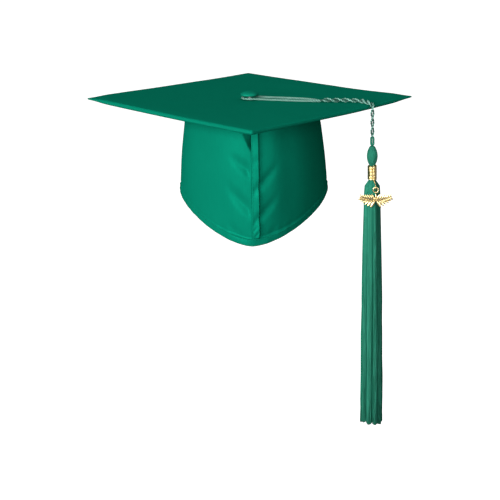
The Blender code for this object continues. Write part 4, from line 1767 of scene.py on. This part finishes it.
@dataclass
class Charm(SubAssembly):
    """The wire hanger, the jump ring and the gilt laurel sprig, set clear of the skirt."""

    half_width: float = 0.0172
    stand: float = -0.0013
    wire: float = 0.00062
    eye: float = 0.0013

    def build(self) -> None:
        """Makes the hanger, the ring and the sprig."""
        self.bend_hanger()
        self.close_ring()
        self.cast_sprig()

    def bend_hanger(self) -> None:
        """Bends the hanger from inside the band, over the skirt, to its eye."""
        axis = Vector((TASSEL_X, TASSEL_Y, BOARD_TOP))
        offset = Vector((CHARM_EYE.x - TASSEL_X, CHARM_EYE.y - TASSEL_Y, 0))
        out, reach = offset.normalized(), offset.length
        stem = ((0.0028, 0.070), (0.0028, 0.0768), (0.0031, 0.0779), (0.0044, 0.0783),
                (0.0064, 0.0788), (0.0082, 0.0801), (reach - 0.0006, 0.0818))
        line = [axis + out * far - UP * drop for far, drop in stem]
        steps, eye_turn = 24, math.radians(290)
        for i in range(steps + 1):
            line.append(around(CHARM_EYE, UP, FRONT, self.eye, eye_turn * i / steps))
        bm = new_bmesh()
        sweep(bm, curve_through(line, 0.0004), self.wire, 10)
        self.keep("charm_hanger_wire", bm, GOLD, Slot.GILT, ["charm_hanger"], Body.TASSEL)

    def ring_line(self, centre: Vector, reach: float, across: Vector) -> list[Vector]:
        """Returns the points of a ring of wire that stands in the plane of across and Z."""
        return [around(centre, across, UP, reach, TAU * i / 48) for i in range(49)]

    def close_ring(self) -> None:
        """Closes the jump ring through the hanger's eye."""
        centre = CHARM_EYE - UP * RING_RADIUS
        bm = new_bmesh()
        sweep(bm, self.ring_line(centre, RING_RADIUS + 0.0003, Vector((1, 0, 0))), 0.00066, 12)
        self.keep("jump_ring_wire", bm, GOLD, Slot.GILT, ["jump_ring"], Body.RING)

    def leaf(self, bm: BMesh, foot: Vector, way: Vector, length: float, width: float) -> None:
        """Adds a domed leaf with a raised rib.

        Args:
            bm: The mesh in the making.
            foot: Where the leaf leaves the stem.
            way: The direction that it points in.
            length: Its length.
            width: Its greatest width.
        """
        way = way.normalized()
        side = way.cross(FRONT)

        def place(u: float, v: float) -> Vector:
            """Returns the leaf's point at u round and v along."""
            half = width / 2 * math.sin(math.pi * v ** 0.8) ** 0.85
            cos, sin = math.cos(TAU * u), math.sin(TAU * u)
            dome = 0.0006 * sin * (half / (width / 2)) ** 0.5
            rib = 0.0002 * math.exp(-((cos / 0.22) ** 2)) * math.sin(math.pi * v) * (sin > 0)
            curl = 0.0006 * v * v
            return foot + way * length * v + side * half * cos + FRONT * (dome + rib + curl)

        lay_grid(bm, 14, 10, place, (width, length), closed=True)

    def cast_sprig(self) -> None:
        """Casts the two laurel branches, the berries between them and the bail on top."""
        bail = CHARM_EYE - UP * 2 * RING_RADIUS
        origin = bail - UP * 0.0005
        bm = new_bmesh()
        sweep(bm, self.ring_line(bail, self.eye, Vector((0, 1, 0))), 0.0004, 10)

        def stem(s: float) -> Vector:
            """Returns the stems' point, from -1 at the left tip to 1 at the right one."""
            return origin + Vector((
                self.half_width * 0.84 * s, self.stand, -0.0086 + 0.0036 * abs(s) ** 1.7
            ))

        line = [stem(i / 24) for i in range(-24, 25)]
        sweep(bm, line, lambda share: 0.00062 - 0.00030 * abs(2 * share - 1), 10)
        y = self.stand
        post = ((y, -0.0086), (y, -0.005), (0.6 * y, -0.0022), (0.0, -0.0006))
        sweep(bm, [origin + Vector((0, y, z)) for y, z in post], 0.0007, 10)
        pairs = 6
        for sign in (-1, 1):
            for i in range(pairs):
                s = sign * (0.08 + 0.82 * i / (pairs - 1))
                along = (stem(s + sign * 0.02) - stem(s)).normalized()
                size = lerp(0.0084, 0.0058, i / (pairs - 1))
                for lean in (-1, 1):
                    tilt = math.radians(lean * lerp(62, 34, i / (pairs - 1)) * sign)
                    way = Matrix.Rotation(-tilt, 3, "Y") @ along
                    self.leaf(bm, stem(s), way, size, size * 0.36)
            self.leaf(bm, stem(sign * 0.94), stem(sign) - stem(sign * 0.9), 0.0040, 0.0018)
        for x, z in ((-0.0012, -0.0060), (0.0012, -0.0060), (0.0, -0.0040)):
            spot = origin + Vector((x, self.stand - 0.0006, z))
            bmesh.ops.create_uvsphere(
                bm, u_segments=16, v_segments=10, radius=0.00105,
                matrix=Matrix.Translation(spot), calc_uvs=True,
            )
        self.keep("laurel_sprig", bm, GOLD, Slot.GILT, ["charm"], Body.SPRIG)


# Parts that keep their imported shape


@dataclass
class HiddenParts(SubAssembly):
    """The top lining and the button's metal parts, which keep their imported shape."""

    def build(self) -> None:
        """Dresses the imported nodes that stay."""
        metal = ("button_shell", "button_backplate", "button_shank", "shank_washer")
        dressing = {"crown_top_lining": GREEN_LINING, **dict.fromkeys(metal, STEEL)}
        for name, finish in dressing.items():
            node = bpy.data.objects[name]
            node.data.materials.clear()
            node.data.materials.append(finish.material())
            self.pieces.append(node)


def main() -> None:
    """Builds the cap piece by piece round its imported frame."""
    logging.basicConfig(level=logging.INFO, format="%(message)s")
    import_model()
    for group in (
        Studio(), TasselCord(), Board(), Crown(), Button(), Tassel(), Charm(), HiddenParts()
    ):
        group.build()
        for piece in group.pieces:
            log.info("%s: %s rides on %s", type(group).__name__, piece.name, body_of(piece))


if __name__ == "__main__":
    main()
